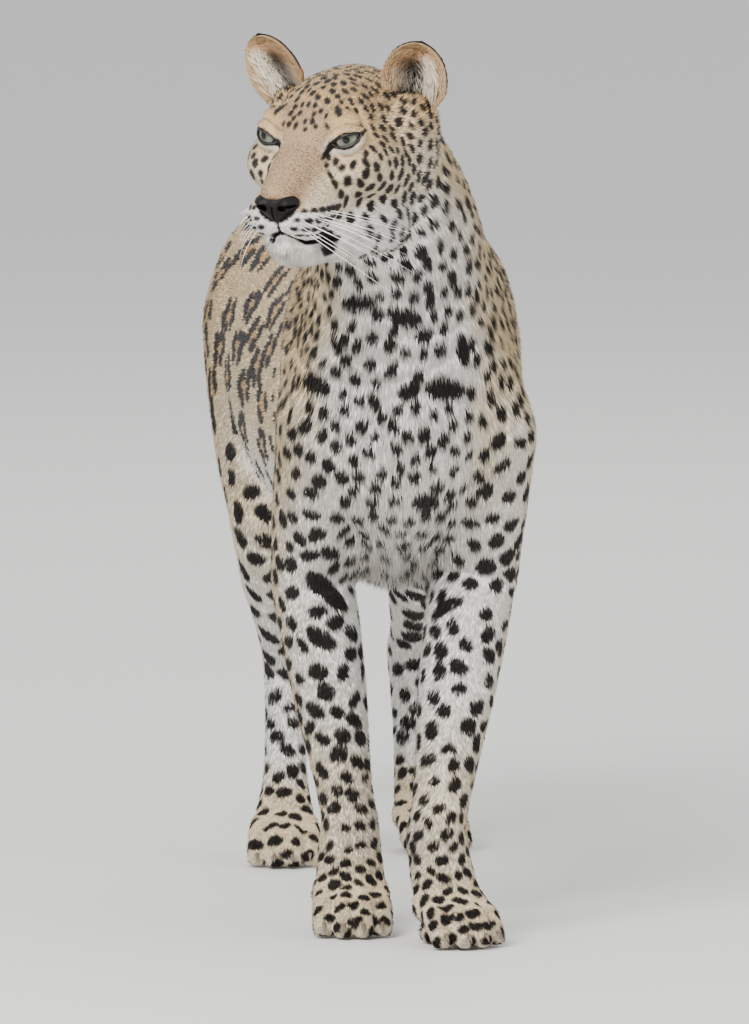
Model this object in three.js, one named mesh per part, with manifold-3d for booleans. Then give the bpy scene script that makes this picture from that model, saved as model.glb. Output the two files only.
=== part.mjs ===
// A life-size leopard, standing, with its head raised and turned to its right.
// Millimetres. +Z is up, -Y is the way the body faces, +X is the animal's left, and the floor is z = 0.
// One smooth field gives the whole body. Each named part is cast from that field and cut off by planes.
import * as THREE from "three";
import { mergeVertices } from "three/addons/utils/BufferGeometryUtils.js";
import Module from "manifold-3d";

const wasm = await Module();
wasm.setup();

// Driving dimensions
const gap = 0.3;
const withersHeight = 570;
const sternumHeight = 288;
const shoulderHalfWidth = 104;
const pawFlat = 4;
const floorDepth = 8;
const headCentre = [-60, -92, 677];
const boxMiddle = [-16.9, 377];
const headYawDeg = 34;
const headPitchDeg = 8;
const eyeRadius = 15.5;

// The trunk, from the chest to the rump: y, top, bottom, half width, and how far its middle is to the left
const trunkProfile = [
  [-52, 470, 372, 44, 0],
  [-25, 520, 330, 74, 0],
  [10, 550, 302, 88, 0],
  [60, withersHeight - 4, sternumHeight + 2, 95, 0],
  [130, withersHeight - 8, sternumHeight, 101, 0],
  [210, 557, 290, shoulderHalfWidth, -2],
  [300, 556, 302, 106, -6],
  [380, 562, 322, 103, -9],
  [450, 568, 344, 102, -9],
  [520, 562, 376, 93, -6],
  [560, 540, 408, 75, -3],
  [584, 512, 436, 46, 0],
];
// The neck, from inside the chest to the skull: x, y, z, half width, half depth
const neckProfile = [
  [0, 14, 475, 84, 106],
  [-4, -14, 545, 77, 94],
  [-15, -38, 600, 69, 80],
  [-36, -62, 648, 62, 66],
  [-50, -80, 672, 52, 54],
];
// The tail, from the rump to its tip: x, y, z, radius
const tailProfile = [
  [0, 560, 516, 27],
  [2, 606, 496, 23],
  [6, 648, 444, 20],
  [10, 676, 370, 18.5],
  [14, 688, 285, 17.5],
  [18, 704, 205, 17],
  [22, 740, 138, 16.5],
  [26, 796, 98, 16.5],
  [30, 860, 92, 16],
  [34, 918, 112, 14.5],
  [38, 955, 150, 10],
];
const stance = {
  foreleg_left: {
    paw: [25, -100],
    headingDeg: 20,
    shoulder: [66, -18, 420],
    elbow: [60, 14, 300],
  },
  foreleg_right: {
    paw: [-48, -20],
    headingDeg: -4,
    shoulder: [-68, -8, 420],
    elbow: [-75, 34, 300],
  },
  hindleg_left: {
    paw: [84, 528],
    headingDeg: 10,
    hip: [58, 492, 452],
    stifle: [74, 424, 310],
  },
  hindleg_right: {
    paw: [-48, 446],
    headingDeg: -8,
    hip: [-58, 480, 452],
    stifle: [-66, 384, 308],
  },
};

// Masses in the head's own frame: left, forward, up, then half width, half length, half height,
// nose-down tilt in degrees and blend. A mass off the middle is on both sides.
const headMasses = [
  [0, -4, 7, 52, 60, 49, 0, 20],
  [0, 36, 19, 43, 44, 34, 20, 20],
  [0, 40, -46, 36, 52, 24, 0, 18],
  [44, 42, -14, 23, 38, 26, 0, 16],
  [40, 8, -24, 27, 40, 36, 0, 18],
  [58, -14, 3, 21, 24, 34, 0, 18],
  [29, 62, 27, 17, 11, 9, 10, 10],
  [16.5, 113, -43, 19, 22, 15.5, 10, 7],
  [0, 105, -72, 20, 17, 15, 0, 8],
];
// Runs of oval sections in the head's frame: left, forward, up, half width, half height
const headRuns = [
  {
    blend: 14,
    points: [
      [0, 52, 12, 28, 22],
      [0, 84, -3, 21, 18],
      [0, 112, -14, 19, 14],
      [0, 131, -22, 16, 11],
    ],
  },
  {
    blend: 16,
    points: [
      [0, 58, -24, 42, 36],
      [0, 88, -34, 37, 30],
      [0, 112, -41, 29, 22],
    ],
  },
  {
    blend: 12,
    points: [
      [9, 98, -72, 15, 14],
      [26, 66, -73, 20, 19],
      [38, 24, -64, 24, 30],
    ],
  },
];
const eye = { left: 32.5, forward: 60.5, up: 13, outDeg: 22, upDeg: 2 };
const lid = {
  halfLength: 13.5,
  halfUpper: 5,
  halfLower: 5.8,
  slantDeg: 17,
  width: 6,
  thickness: 2.6,
  capDeg: 62,
};
const nose = {
  forward: 131,
  up: -31.5,
  halfWidth: 17,
  halfLength: 11,
  halfHeight: 13,
  taper: 0.5,
  nostrilOut: 8.5,
};
const mouth = { heart: 78, front: -55, corner: -67, halfOpening: 1.4, depth: 4 };
const ear = {
  left: 57,
  forward: -5,
  up: 25,
  height: 59,
  halfWidth: 28,
  cupDepth: 17,
  thickness: 5,
  roundFrom: 0.3,
  faceOutDeg: 14,
  leanOutDeg: 19,
  leanBackDeg: -3,
  footShare: 0.74,
};

const vec = (x, y, z) => new THREE.Vector3(x, y, z);
const radians = THREE.MathUtils.degToRad;
const mix = THREE.MathUtils.lerp;
const clamp = THREE.MathUtils.clamp;

// Distance fields, in millimetres and negative inside
function smoothMin(a, b, blend) {
  const h = Math.max(blend - Math.abs(a - b), 0) / blend;
  return Math.min(a, b) - h * h * blend * 0.25;
}

const smoothMax = (a, b, blend) => -smoothMin(-a, -b, blend);

function ovalDistance(x, y, z, rx, ry, rz) {
  const k0 = Math.hypot(x / rx, y / ry, z / rz);
  const k1 = Math.hypot(x / (rx * rx), y / (ry * ry), z / (rz * rz));
  return k1 < 1e-9 ? -Math.min(rx, ry, rz) : (k0 * (k0 - 1)) / k1;
}

function catmull(a, b, c, d, t) {
  const square = 2 * a - 5 * b + 4 * c - d;
  const cube = 3 * b - a - 3 * c + d;
  return 0.5 * (2 * b + (c - a) * t + square * t * t + cube * t ** 3);
}

// Rows of numbers drawn through again with several smooth steps in each span
function refine(rows, steps) {
  const out = [];
  for (let i = 0; i + 1 < rows.length; i++) {
    const around = [rows[Math.max(i - 1, 0)], rows[i], rows[i + 1], rows[Math.min(i + 2, rows.length - 1)]];
    for (let s = 0; s < steps; s++) {
      out.push(rows[0].map((_, c) => catmull(...around.map((row) => row[c]), s / steps)));
    }
  }
  out.push(rows[rows.length - 1]);
  return out;
}

// A limb is a run of oval sections: x, y, z, half width along the side axis, half depth across it
class Limb {
  constructor(rows, side = vec(1, 0, 0), steps = 4) {
    this.rows = refine(rows, steps);
    this.spans = [];
    for (let i = 0; i + 1 < this.rows.length; i++) {
      const [from, to] = [this.rows[i], this.rows[i + 1]];
      const a = vec(...from.slice(0, 3));
      const run = vec(...to.slice(0, 3)).sub(a);
      const length = run.length();
      run.divideScalar(length);
      const across = side.clone().addScaledVector(run, -side.dot(run)).normalize();
      const deep = run.clone().cross(across);
      this.spans.push({ a, run, length, across, deep, from, to });
    }
  }

  distance(p) {
    let best = Infinity;
    for (const s of this.spans) {
      const [px, py, pz] = [p.x - s.a.x, p.y - s.a.y, p.z - s.a.z];
      const along = px * s.run.x + py * s.run.y + pz * s.run.z;
      const t = clamp(along / s.length, 0, 1);
      const wide = mix(s.from[3], s.to[3], t);
      const deep = mix(s.from[4], s.to[4], t);
      const x = px * s.across.x + py * s.across.y + pz * s.across.z;
      const y = px * s.deep.x + py * s.deep.y + pz * s.deep.z;
      best = Math.min(best, ovalDistance(x, y, along - t * s.length, wide, deep, Math.min(wide, deep)));
    }
    return best;
  }
}

// The head's frame: local x is its left, -y its forward and z its up
const headFrame = new THREE.Matrix4()
  .makeRotationFromEuler(new THREE.Euler(radians(headPitchDeg), 0, -radians(headYawDeg), "ZYX"))
  .setPosition(...headCentre);
const headInverse = headFrame.clone().invert();
const headLocal = (left, forward, up) => vec(left, -forward, up);
const headPoint = (left, forward, up) => headLocal(left, forward, up).applyMatrix4(headFrame);
const headWay = (left, forward, up) => headLocal(left, forward, up).transformDirection(headFrame);

const headLimbs = headRuns.map(({ points, blend }) => ({
  blend,
  limb: new Limb(points.map(([l, f, u, w, h]) => [l, -f, u, w, h])),
}));

const eyeWay = headLocal(
  Math.sin(radians(eye.outDeg)),
  Math.cos(radians(eye.outDeg)),
  Math.sin(radians(eye.upDeg)),
).normalize();
const eyeLocal = headLocal(eye.left, eye.forward, eye.up);
const socket = eyeLocal.clone().addScaledVector(eyeWay, eyeRadius + 5);

// The head alone, with the hollows round its eyes
function headField(p) {
  const q = p.clone().applyMatrix4(headInverse);
  q.x = Math.abs(q.x);
  let d = Infinity;
  for (const [l, f, u, w, n, h, tilt, blend] of headMasses) {
    const c = Math.cos(radians(tilt));
    const s = Math.sin(radians(tilt));
    const [dy, dz] = [q.y + f, q.z - u];
    const part = ovalDistance(q.x - l, dy * c + dz * s, dz * c - dy * s, w, n, h);
    d = d === Infinity ? part : smoothMin(d, part, blend);
  }
  for (const { limb, blend } of headLimbs) d = smoothMin(d, limb.distance(q), blend);
  d = smoothMax(d, 13 - q.distanceTo(socket), 10);
  return smoothMin(d, q.distanceTo(eyeLocal) - eyeRadius - 1, 4);
}

// A paw on the floor: four arched toes, the back of the foot and the large pad
function pawLimbs({ paw, headingDeg }, hind) {
  const size = hind ? 0.93 : 1;
  const turn = radians(headingDeg);
  const place = (left, forward, up) => [
    paw[0] + size * (left * Math.cos(turn) + forward * Math.sin(turn)),
    paw[1] + size * (left * Math.sin(turn) - forward * Math.cos(turn)),
    up * size,
  ];
  const side = vec(Math.cos(turn), Math.sin(turn), 0);
  const toes = [-1.5, -0.5, 0.5, 1.5].map((slot) => {
    const reach = Math.abs(slot) > 1 ? 24 : 34;
    const spread = slot * 15.5;
    return new Limb(
      [
        [...place(spread * 0.85, reach - 26, 32), 12 * size, 13 * size],
        [...place(spread, reach - 4, 25), 11.5 * size, 12 * size],
        [...place(spread * 1.04, reach + 9, 13 - pawFlat), 10.5 * size, 10.5 * size],
      ],
      side,
      2,
    );
  });
  const pad = new Limb([
    [...place(-9, -6, 14 - pawFlat), 15 * size, 15 * size],
    [...place(9, -6, 14 - pawFlat), 15 * size, 15 * size],
  ], vec(0, 0, 1), 1);
  return { toes, pad, place, side };
}

function legOf(name) {
  const plan = stance[name];
  const hind = name.startsWith("hind");
  const { toes, pad, place, side } = pawLimbs(plan, hind);
  const rows = [];
  let masses;
  if (hind) {
    const [hx, hy, hz] = plan.hip;
    const [kx, ky, kz] = plan.stifle;
    const sign = Math.sign(hx);
    const hock = place(0, -52, 172);
    rows.push(
      [hx, hy, hz, 52, 88],
      [mix(hx, kx, 0.5) + sign * 2, mix(hy, ky, 0.5) + 12, mix(hz, kz, 0.5), 49, 80],
      [kx, ky + 6, kz, 38, 54],
      [mix(kx, hock[0], 0.45), mix(ky, hock[1], 0.45), mix(kz, hock[2], 0.45), 30, 37],
      [mix(kx, hock[0], 0.82), mix(ky, hock[1], 0.82), mix(kz, hock[2], 0.82), 21, 24],
      [...hock, 20, 25],
      [...place(0, -44, 120), 18.5, 20],
      [...place(0, -32, 75), 20, 20],
      [...place(0, -14, 42), 26, 19],
      [...place(0, 0, 30), 28, 17],
    );
    masses = [
      [mix(kx, hock[0], 0.3), mix(ky, hock[1], 0.3) + 16, mix(kz, hock[2], 0.3) + 10, 27, 34, 50],
      [hock[0], hock[1] + 14, hock[2] + 10, 12, 13, 20],
      [hx + sign * 4, hy + 62, hz - 60, 42, 34, 66],
    ];
  } else {
    const [sx, sy, sz] = plan.shoulder;
    const [ex, ey, ez] = plan.elbow;
    const wrist = place(0, -24, 92);
    const down = (t) => [mix(ex, wrist[0], t), mix(ey, wrist[1], t), mix(ez, wrist[2], t)];
    rows.push(
      [sx, sy, sz, 38, 60],
      [mix(sx, ex, 0.55), mix(sy, ey, 0.55), mix(sz, ez, 0.55), 38, 58],
      [...down(0), 35, 50],
      [...down(0.22), 35, 43],
      [...down(0.48), 32.5, 36],
      [...down(0.72), 27.5, 30],
      [...down(0.9), 24.5, 27],
      [...wrist, 25, 27],
      [...place(0, -16, 62), 28, 24],
      [...place(0, -2, 36), 31, 20],
    );
    masses = [
      [ex + Math.sign(ex) * 2, ey + 34, ez + 16, 20, 22, 32],
      [...place(0, -40, 78), 12, 11, 13],
    ];
  }
  return { toes, pad, masses, hind, limb: new Limb(rows, side), rows, place };
}

const legs = Object.fromEntries(Object.keys(stance).map((name) => [name, legOf(name)]));

function legField(leg, p) {
  let d = leg.limb.distance(p);
  for (const [x, y, z, w, n, h] of leg.masses) {
    d = smoothMin(d, ovalDistance(p.x - x, p.y - y, p.z - z, w, n, h), 16);
  }
  let foot = leg.pad.distance(p);
  for (const toe of leg.toes) foot = smoothMin(foot, toe.distance(p), 4);
  return smoothMin(d, foot, 9);
}

const trunk = new Limb(
  trunkProfile.map(([y, top, bottom, wide, aside]) => {
    return [aside, y, (top + bottom) / 2, wide, (top - bottom) / 2];
  }),
);
// Muscle and fur on the trunk: left, y, z, half width, half length, half height, on both sides
const trunkMasses = [
  [58, 42, 492, 36, 54, 74],
  [62, 40, 385, 36, 66, 76],
  [52, -18, 425, 44, 44, 66],
  [34, -40, 440, 44, 38, 74],
  [42, 500, 490, 54, 66, 62],
  [36, 400, 352, 46, 60, 40],
];
const neck = new Limb(neckProfile, vec(Math.cos(radians(18)), -Math.sin(radians(18)), 0));
const tail = new Limb(tailProfile.map(([x, y, z, r]) => [x, y, z, r, r]));

// The whole animal but its ears and tail, fur included. Its pads reach a little below the floor.
function bodyField(p) {
  let d = trunk.distance(p);
  for (const [x, y, z, w, n, h] of trunkMasses) {
    d = smoothMin(d, ovalDistance(Math.abs(p.x) - x, p.y - y, p.z - z, w, n, h), 26);
  }
  d = smoothMin(d, neck.distance(p), 46);
  for (const leg of Object.values(legs)) d = smoothMin(d, legField(leg, p), 26);
  if (p.z > 500 && p.y < 60) d = smoothMin(d, headField(p), 22);
  return Math.max(d, -p.z - floorDepth);
}

// Solids
function toSolid(geometry) {
  const bare = geometry.clone();
  bare.deleteAttribute("normal");
  bare.deleteAttribute("uv");
  const merged = mergeVertices(bare, 1e-4);
  return new wasm.Manifold(
    new wasm.Mesh({
      numProp: 3,
      vertProperties: new Float32Array(merged.attributes.position.array),
      triVerts: new Uint32Array(merged.index.array),
    }),
  );
}

function toGeometry(solid) {
  const mesh = solid.getMesh();
  const geometry = new THREE.BufferGeometry();
  geometry.setAttribute("position", new THREE.BufferAttribute(mesh.vertProperties, 3));
  geometry.setIndex(new THREE.BufferAttribute(mesh.triVerts, 1));
  geometry.computeVertexNormals();
  return geometry;
}

const largest = (solid) => solid.decompose().reduce((a, b) => (b.volume() > a.volume() ? b : a));

// A grid of points, row by row, closed by a point at each end
function closedGrid(rows, first, last, flip = false) {
  const sides = rows[0].length;
  const points = [first, ...rows.flat(), last];
  const end = points.length - 1;
  const at = (row, side) => 1 + row * sides + (side % sides);
  const faces = [];
  const face = (a, b, c) => faces.push(...(flip ? [a, c, b] : [a, b, c]));
  for (let s = 0; s < sides; s++) {
    face(0, at(0, s + 1), at(0, s));
    face(end, at(rows.length - 1, s), at(rows.length - 1, s + 1));
    for (let r = 0; r + 1 < rows.length; r++) {
      face(at(r, s), at(r, s + 1), at(r + 1, s + 1));
      face(at(r, s), at(r + 1, s + 1), at(r + 1, s));
    }
  }
  const geometry = new THREE.BufferGeometry().setFromPoints(points);
  geometry.setIndex(faces);
  return geometry;
}

// The surface point that a ray from inside a field meets
function cast(field, from, way) {
  const p = from.clone();
  let travelled = 0;
  let step = Math.max(-field(p) * 0.6, 1);
  let inside = 0;
  while (travelled < 400) {
    travelled += step;
    p.copy(from).addScaledVector(way, travelled);
    const d = field(p);
    if (d > 0) break;
    inside = travelled;
    step = Math.max(-d * 0.6, 1);
  }
  let outside = travelled;
  for (let i = 0; i < 12; i++) {
    const middle = (inside + outside) / 2;
    if (field(p.copy(from).addScaledVector(way, middle)) > 0) outside = middle;
    else inside = middle;
  }
  return from.clone().addScaledVector(way, (inside + outside) / 2);
}

// A skin cast in rings from a line inside the body. Each ring has a point, the line's way there,
// and a lean of its rays along that way, so that a run of leaning rings closes a blunt end.
// The rays of a ring may crowd together below.
function castSkin(field, rings, sides, up, crowdBelow = 0) {
  const rows = rings.map(({ at, way, leanDeg = 0 }) => {
    const upright = up.clone().addScaledVector(way, -up.dot(way)).normalize();
    const side = upright.clone().cross(way);
    const [c, s] = [Math.cos(radians(leanDeg)), Math.sin(radians(leanDeg))];
    return Array.from({ length: sides }, (_, i) => {
      const even = (2 * Math.PI * i) / sides;
      const angle = even - crowdBelow * Math.cos(even);
      const ray = side.clone().multiplyScalar(Math.cos(angle)).addScaledVector(upright, Math.sin(angle));
      return cast(field, at, ray.multiplyScalar(c).addScaledVector(way, s));
    });
  });
  const [head, end] = [rings[0], rings[rings.length - 1]];
  const first = head.leanDeg ? cast(field, head.at, head.way.clone().negate()) : head.at;
  const last = end.leanDeg ? cast(field, end.at, end.way) : end.at;
  return toSolid(closedGrid(rows, first, last));
}

// Cutting planes: a point and a normal that points into the part that is kept
const plane = (point, normal) => ({ point, normal: normal.clone().normalize() });
const planeHeight = ({ point, normal }, p) => normal.dot(p) - normal.dot(point);
const flipped = ({ point, normal }) => ({ point, normal: normal.clone().negate() });

function keep(solid, planes, shift = gap / 2) {
  return planes.reduce(
    (s, { point, normal }) => s.trimByPlane(normal.toArray(), normal.dot(point) + shift),
    solid,
  );
}

const bigBox = toSolid(new THREE.BoxGeometry(2400, 3200, 2400));
const regionSolid = (planes, shift) => keep(bigBox, planes, shift);
// Rays stop a little past the cut, where the planes then trim the skin
const beyondCut = 32;
const within = (field, planes, past = beyondCut) => (p) =>
  Math.max(field(p), ...planes.map((cut) => -planeHeight(cut, p) - past));
const without = (field, regions) => (p) => {
  const depths = regions.map((planes) => Math.min(...planes.map((cut) => planeHeight(cut, p))));
  return Math.max(field(p), ...depths.map((depth) => depth - beyondCut));
};

// Where the parts meet
const headCut = plane(headPoint(0, -60, 20), headWay(0, 0.775, 0.632));
const neckCut = plane(vec(-8, -20, 540), vec(-0.16, -0.42, 0.89));
const behindThighs = plane(vec(0, 606, 500), vec(0, -1, -0.11));
const legCuts = {
  foreleg_left: [
    plane(vec(0, 0, 336), vec(0.25, 0.05, -1)),
    plane(vec(20, 0, 300), vec(1, 0, -0.05)),
    plane(vec(0, 118, 300), vec(0, -1, -0.1)),
  ],
  foreleg_right: [
    plane(vec(0, 0, 336), vec(-0.25, 0.05, -1)),
    plane(vec(-26, 0, 300), vec(-1, 0, -0.05)),
    plane(vec(0, 118, 300), vec(0, -1, -0.1)),
  ],
  hindleg_left: [
    plane(vec(0, 400, 356), vec(0.12, 0.36, -0.93)),
    plane(vec(12, 500, 350), vec(1, 0, 0)),
    plane(vec(0, 335, 300), vec(0, 1, 0)),
    behindThighs,
  ],
  hindleg_right: [
    plane(vec(0, 400, 356), vec(-0.12, 0.36, -0.93)),
    plane(vec(-12, 500, 350), vec(-1, 0, 0)),
    plane(vec(0, 300, 300), vec(0, 1, 0)),
    behindThighs,
  ],
};
const wristHeight = 74;
const floor = plane(vec(0, 0, 0), vec(0, 0, 1));
const kneeCut = {
  hindleg_left: plane(vec(0, 440, 262), vec(0, 0.25, 1)),
  hindleg_right: plane(vec(0, 400, 262), vec(0, 0.25, 1)),
};

const colours = {
  coat: new THREE.MeshStandardMaterial({ color: 0xc9a271, roughness: 0.9 }),
  pale: new THREE.MeshStandardMaterial({ color: 0xe8e0d4, roughness: 0.9 }),
  eye: new THREE.MeshStandardMaterial({ color: 0x8f9a78, roughness: 0.1 }),
  leather: new THREE.MeshStandardMaterial({ color: 0x2b2422, roughness: 0.5 }),
};
const leopard = new THREE.Group();
function add(name, solid, material) {
  const mesh = new THREE.Mesh(toGeometry(largest(solid)), material);
  mesh.name = name;
  leopard.add(mesh);
}

// Trunk
function trunkRings() {
  const rings = [];
  const y0 = -20;
  const way = vec(0, 1, 0);
  for (const leanDeg of [-66, -44, -22]) rings.push({ at: vec(0, y0, 430), way, leanDeg });
  for (let y = y0; y < 560; y += 23) rings.push({ at: vec(0, y, 432 + y * 0.06), way });
  for (const leanDeg of [20, 42, 64]) rings.push({ at: vec(0, 560, 466), way, leanDeg });
  return rings;
}
const trunkField = without(within(bodyField, [flipped(neckCut)], 4 * beyondCut), Object.values(legCuts));
const rings = trunkRings();
const castTrunk = (field, some) => castSkin(field, some, 36, vec(0, 0, 1), 0.4);
let torso = keep(castTrunk(trunkField, rings), [flipped(neckCut)]);
const grownRump = castTrunk((p) => trunkField(p) - gap, rings.slice(-9));
for (const planes of Object.values(legCuts)) torso = torso.subtract(regionSolid(planes, -gap / 2));
add("torso", torso, colours.coat);

// Neck
const neckRings = [0.02, 0.14, 0.26, 0.38, 0.5, 0.62, 0.74, 0.86, 0.98].map((t) => {
  const line = new THREE.CatmullRomCurve3(neckProfile.map((row) => vec(...row.slice(0, 3))));
  return { at: line.getPointAt(t), way: line.getTangentAt(t) };
});
const neckSkin = castSkin(bodyField, neckRings, 28, vec(0, 1, 0));
add("neck", keep(neckSkin, [neckCut, flipped(headCut)]), colours.coat);

// Legs and paws
for (const [name, leg] of Object.entries(legs)) {
  const planes = legCuts[name];
  const field = within(bodyField, planes);
  const lower = leg.limb.rows.filter((row) => row[2] < 420);
  const heights = [];
  for (let z = leg.hind ? 500 : 350; z > 40; z -= z > 120 ? 17 : 11) heights.push(z);
  const centreAt = (z) => {
    const i = Math.max(1, lower.findIndex((row) => row[2] < z));
    const [a, b] = [lower[i - 1], lower[i]];
    const t = clamp((z - a[2]) / (b[2] - a[2]), 0, 1);
    return vec(mix(a[0], b[0], t), mix(a[1], b[1], t), z);
  };
  const rings = heights.map((z) => ({ at: centreAt(z), way: vec(0, 0, -1) }));
  const skin = castSkin(field, rings, 18, vec(0, 1, 0));
  const ankle = plane(vec(0, 0, wristHeight), vec(0, 0, 1));
  const whole = keep(skin, planes);
  if (leg.hind) {
    add(name.replace("hindleg", "thigh"), keep(whole, [kneeCut[name]]), colours.coat);
    add(name.replace("hindleg", "shank"), keep(whole, [flipped(kneeCut[name]), ankle]), colours.coat);
  } else {
    add(name, keep(whole, [ankle]), colours.coat);
  }
  const forward = vec(...leg.place(0, 100, 0)).sub(vec(...leg.place(0, 0, 0))).normalize();
  const pawRing = (reach, up, leanDeg) => ({ at: vec(...leg.place(0, reach, up)), way: forward, leanDeg });
  const pawRings = [
    ...[-60, -30].map((lean) => pawRing(-18, 22, lean)),
    ...[-18, -10, 0, 9, 17].map((reach) => pawRing(reach, 19, 0)),
    ...[14, 28, 42, 56, 70].map((lean) => pawRing(17, 17, lean)),
  ];
  const foot = castSkin(within(bodyField, [flipped(ankle)]), pawRings, 32, vec(0, 0, 1));
  const paw = name.replace("foreleg", "forepaw").replace("hindleg", "hindpaw");
  add(paw, keep(keep(foot, [flipped(ankle)]), [floor], 0), colours.pale);
}

// Tail, in three lengths
const tailLine = new THREE.CatmullRomCurve3(tailProfile.map(([x, y, z]) => vec(x, y, z)));
const tailAt = (t) => plane(tailLine.getPointAt(t), tailLine.getTangentAt(t));
const tailPieces = [
  ["tail_root", 0.01, 0.36, null],
  ["tail_middle", 0.34, 0.7, tailAt(0.35)],
  ["tail_tip", 0.68, 0.985, tailAt(0.69)],
];
tailPieces.forEach(([name, from, to, start], i) => {
  const rings = [];
  const count = 11;
  for (let k = 0; k <= count; k++) {
    const t = mix(from, to, k / count);
    rings.push({ at: tailLine.getPointAt(t), way: tailLine.getTangentAt(t) });
  }
  const last = rings[rings.length - 1];
  const next = tailPieces[i + 1];
  if (!next) for (const lean of [30, 60]) rings.push({ ...last, leanDeg: lean });
  const planes = [start, next && flipped(next[3])].filter(Boolean);
  const length = keep(castSkin((p) => tail.distance(p), rings, 10, vec(1, 0, 0)), planes);
  add(name, start ? length : length.subtract(grownRump), colours.coat);
});

// Head
function headRings() {
  const line = new THREE.CatmullRomCurve3([
    headLocal(0, -26, -28),
    headLocal(0, 8, -12),
    headLocal(0, 50, -14),
    headLocal(0, 90, -26),
    headLocal(0, 114, -35),
  ]);
  const rings = [];
  const count = 20;
  for (let i = 0; i <= count; i++) {
    const t = i / count;
    const tilt = radians(39 * (1 - t) ** 1.6);
    rings.push({
      at: line.getPointAt(t).applyMatrix4(headFrame),
      way: headWay(0, Math.cos(tilt), Math.sin(tilt)),
    });
  }
  const { at, way } = rings[count];
  for (const leanDeg of [10, 20, 30, 40, 50, 60, 70, 80]) rings.push({ at, way, leanDeg });
  return rings;
}
const headRows = headRings();
const headSkin = (grown) =>
  castSkin((p) => within(bodyField, [headCut])(p) - grown, headRows, 40, headWay(0, 0, 1));
let head = keep(headSkin(0), [headCut]);
const grownHead = headSkin(gap);

// A closed grid turned the right way out whichever side of the head it is on
function gridSolid(rows, first, last) {
  const solid = toSolid(closedGrid(rows, first, last));
  return solid.volume() > 0 ? solid : toSolid(closedGrid(rows, first, last, true));
}

// A groove along points of the skin, cut with an oval section
function groove(points, up, high, deep) {
  const line = new THREE.CatmullRomCurve3(points);
  const rows = points.map((_, i) => {
    const t = i / (points.length - 1);
    const out = line.getTangentAt(t).cross(up).normalize();
    const thin = i === 0 || t === 1 ? 0.4 : 1;
    return Array.from({ length: 8 }, (_, k) => {
      const a = (Math.PI * k) / 4;
      const rim = line.getPointAt(t).addScaledVector(up, high * thin * Math.sin(a));
      return rim.addScaledVector(out, deep * thin * Math.cos(a));
    });
  });
  return gridSolid(rows, points[0], points[points.length - 1]);
}

const aheadOf = (deg) => headWay(Math.sin(radians(deg)), Math.cos(radians(deg)), 0);
const mouthLine = [-74, -56, -36, -18, 0, 18, 36, 56, 74].map((deg) => {
  const corner = (Math.abs(deg) / 74) ** 2;
  return cast(bodyField, headPoint(0, mouth.heart, mix(mouth.front, mouth.corner, corner)), aheadOf(deg));
});
const lipLine = [0, 0.5, 1].map((t) => {
  return cast(bodyField, headPoint(0, 94, mix(-42, mouth.front, t)), aheadOf(0));
});
head = head.subtract(groove(mouthLine, headWay(0, 0, 1), mouth.halfOpening, mouth.depth));
head = head.subtract(groove(lipLine, headWay(1, 0, 0), 1, 3));

// Nose pad, wider above than below, with a nostril on each side
function ball(left, forward, up, halfSizes, taper = 0) {
  const geometry = new THREE.SphereGeometry(1, 14, 10);
  const points = geometry.attributes.position;
  for (let i = 0; i < points.count; i++) {
    const p = vec(points.getX(i), points.getY(i), points.getZ(i));
    const wide = 1 + taper * p.z;
    const [x, y, z] = [p.x * wide * halfSizes[0], p.y * halfSizes[1], p.z * halfSizes[2]];
    const at = headPoint(left + x, forward + y, up + z);
    points.setXYZ(i, at.x, at.y, at.z);
  }
  const solid = toSolid(geometry);
  return solid.volume() > 0 ? solid : toSolid(turned(geometry));
}

function turned(geometry) {
  const index = geometry.index.array;
  for (let i = 0; i < index.length; i += 3) [index[i], index[i + 1]] = [index[i + 1], index[i]];
  return geometry;
}

function nosePad(grown) {
  const halfSizes = [nose.halfWidth, nose.halfLength, nose.halfHeight].map((size) => size + grown);
  return ball(0, nose.forward, nose.up, halfSizes, nose.taper);
}
let nosePiece = nosePad(0);
for (const side of [-1, 1]) {
  const nostril = ball(side * nose.nostrilOut, nose.forward + 8, nose.up - 1, [3.6, 6, 3]);
  nosePiece = nosePiece.subtract(nostril);
}
head = head.subtract(nosePad(gap));
add("nose", nosePiece, colours.leather);

// Eyes and lids, in a frame on each eyeball: x to the outer corner, y up, z out through the pupil
function eyeFrame(side) {
  const z = vec(side * eyeWay.x, eyeWay.y, eyeWay.z).transformDirection(headFrame);
  const y = headWay(0, 0, 1).addScaledVector(z, -headWay(0, 0, 1).dot(z)).normalize();
  const x = y.clone().cross(z).multiplyScalar(side);
  return { centre: headPoint(side * eye.left, eye.forward, eye.up), x, y, z };
}

function onBall({ centre, x, y, z }, angle, lean, radius) {
  const out = x.clone().multiplyScalar(Math.cos(angle)).addScaledVector(y, Math.sin(angle));
  const ahead = centre.clone().addScaledVector(z, radius * Math.cos(lean));
  return ahead.addScaledVector(out, radius * Math.sin(lean));
}

function eyeball(frame, grown) {
  const radius = eyeRadius + grown;
  const rows = [14, 28, 42, lid.capDeg].map((deg) => {
    const lean = radians(deg) + grown / 14;
    return Array.from({ length: 28 }, (_, i) => onBall(frame, (Math.PI * i) / 14, lean, radius));
  });
  const depth = radius * Math.cos(radians(lid.capDeg)) - 2.5 * grown;
  const back = frame.centre.clone().addScaledVector(frame.z, depth);
  return gridSolid(rows, onBall(frame, 0, 0, radius), back);
}

// How far the lids' edge leans from the pupil's line: an almond, its outer corner higher than its inner one
function lidEdge(angle) {
  const turned = angle - radians(lid.slantDeg);
  const high = Math.sin(turned) > 0 ? lid.halfUpper : lid.halfLower;
  const across = Math.abs(Math.cos(turned) / lid.halfLength) ** 1.5;
  return (across + Math.abs(Math.sin(turned) / high) ** 1.5) ** (-1 / 1.5) / eyeRadius;
}

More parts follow.
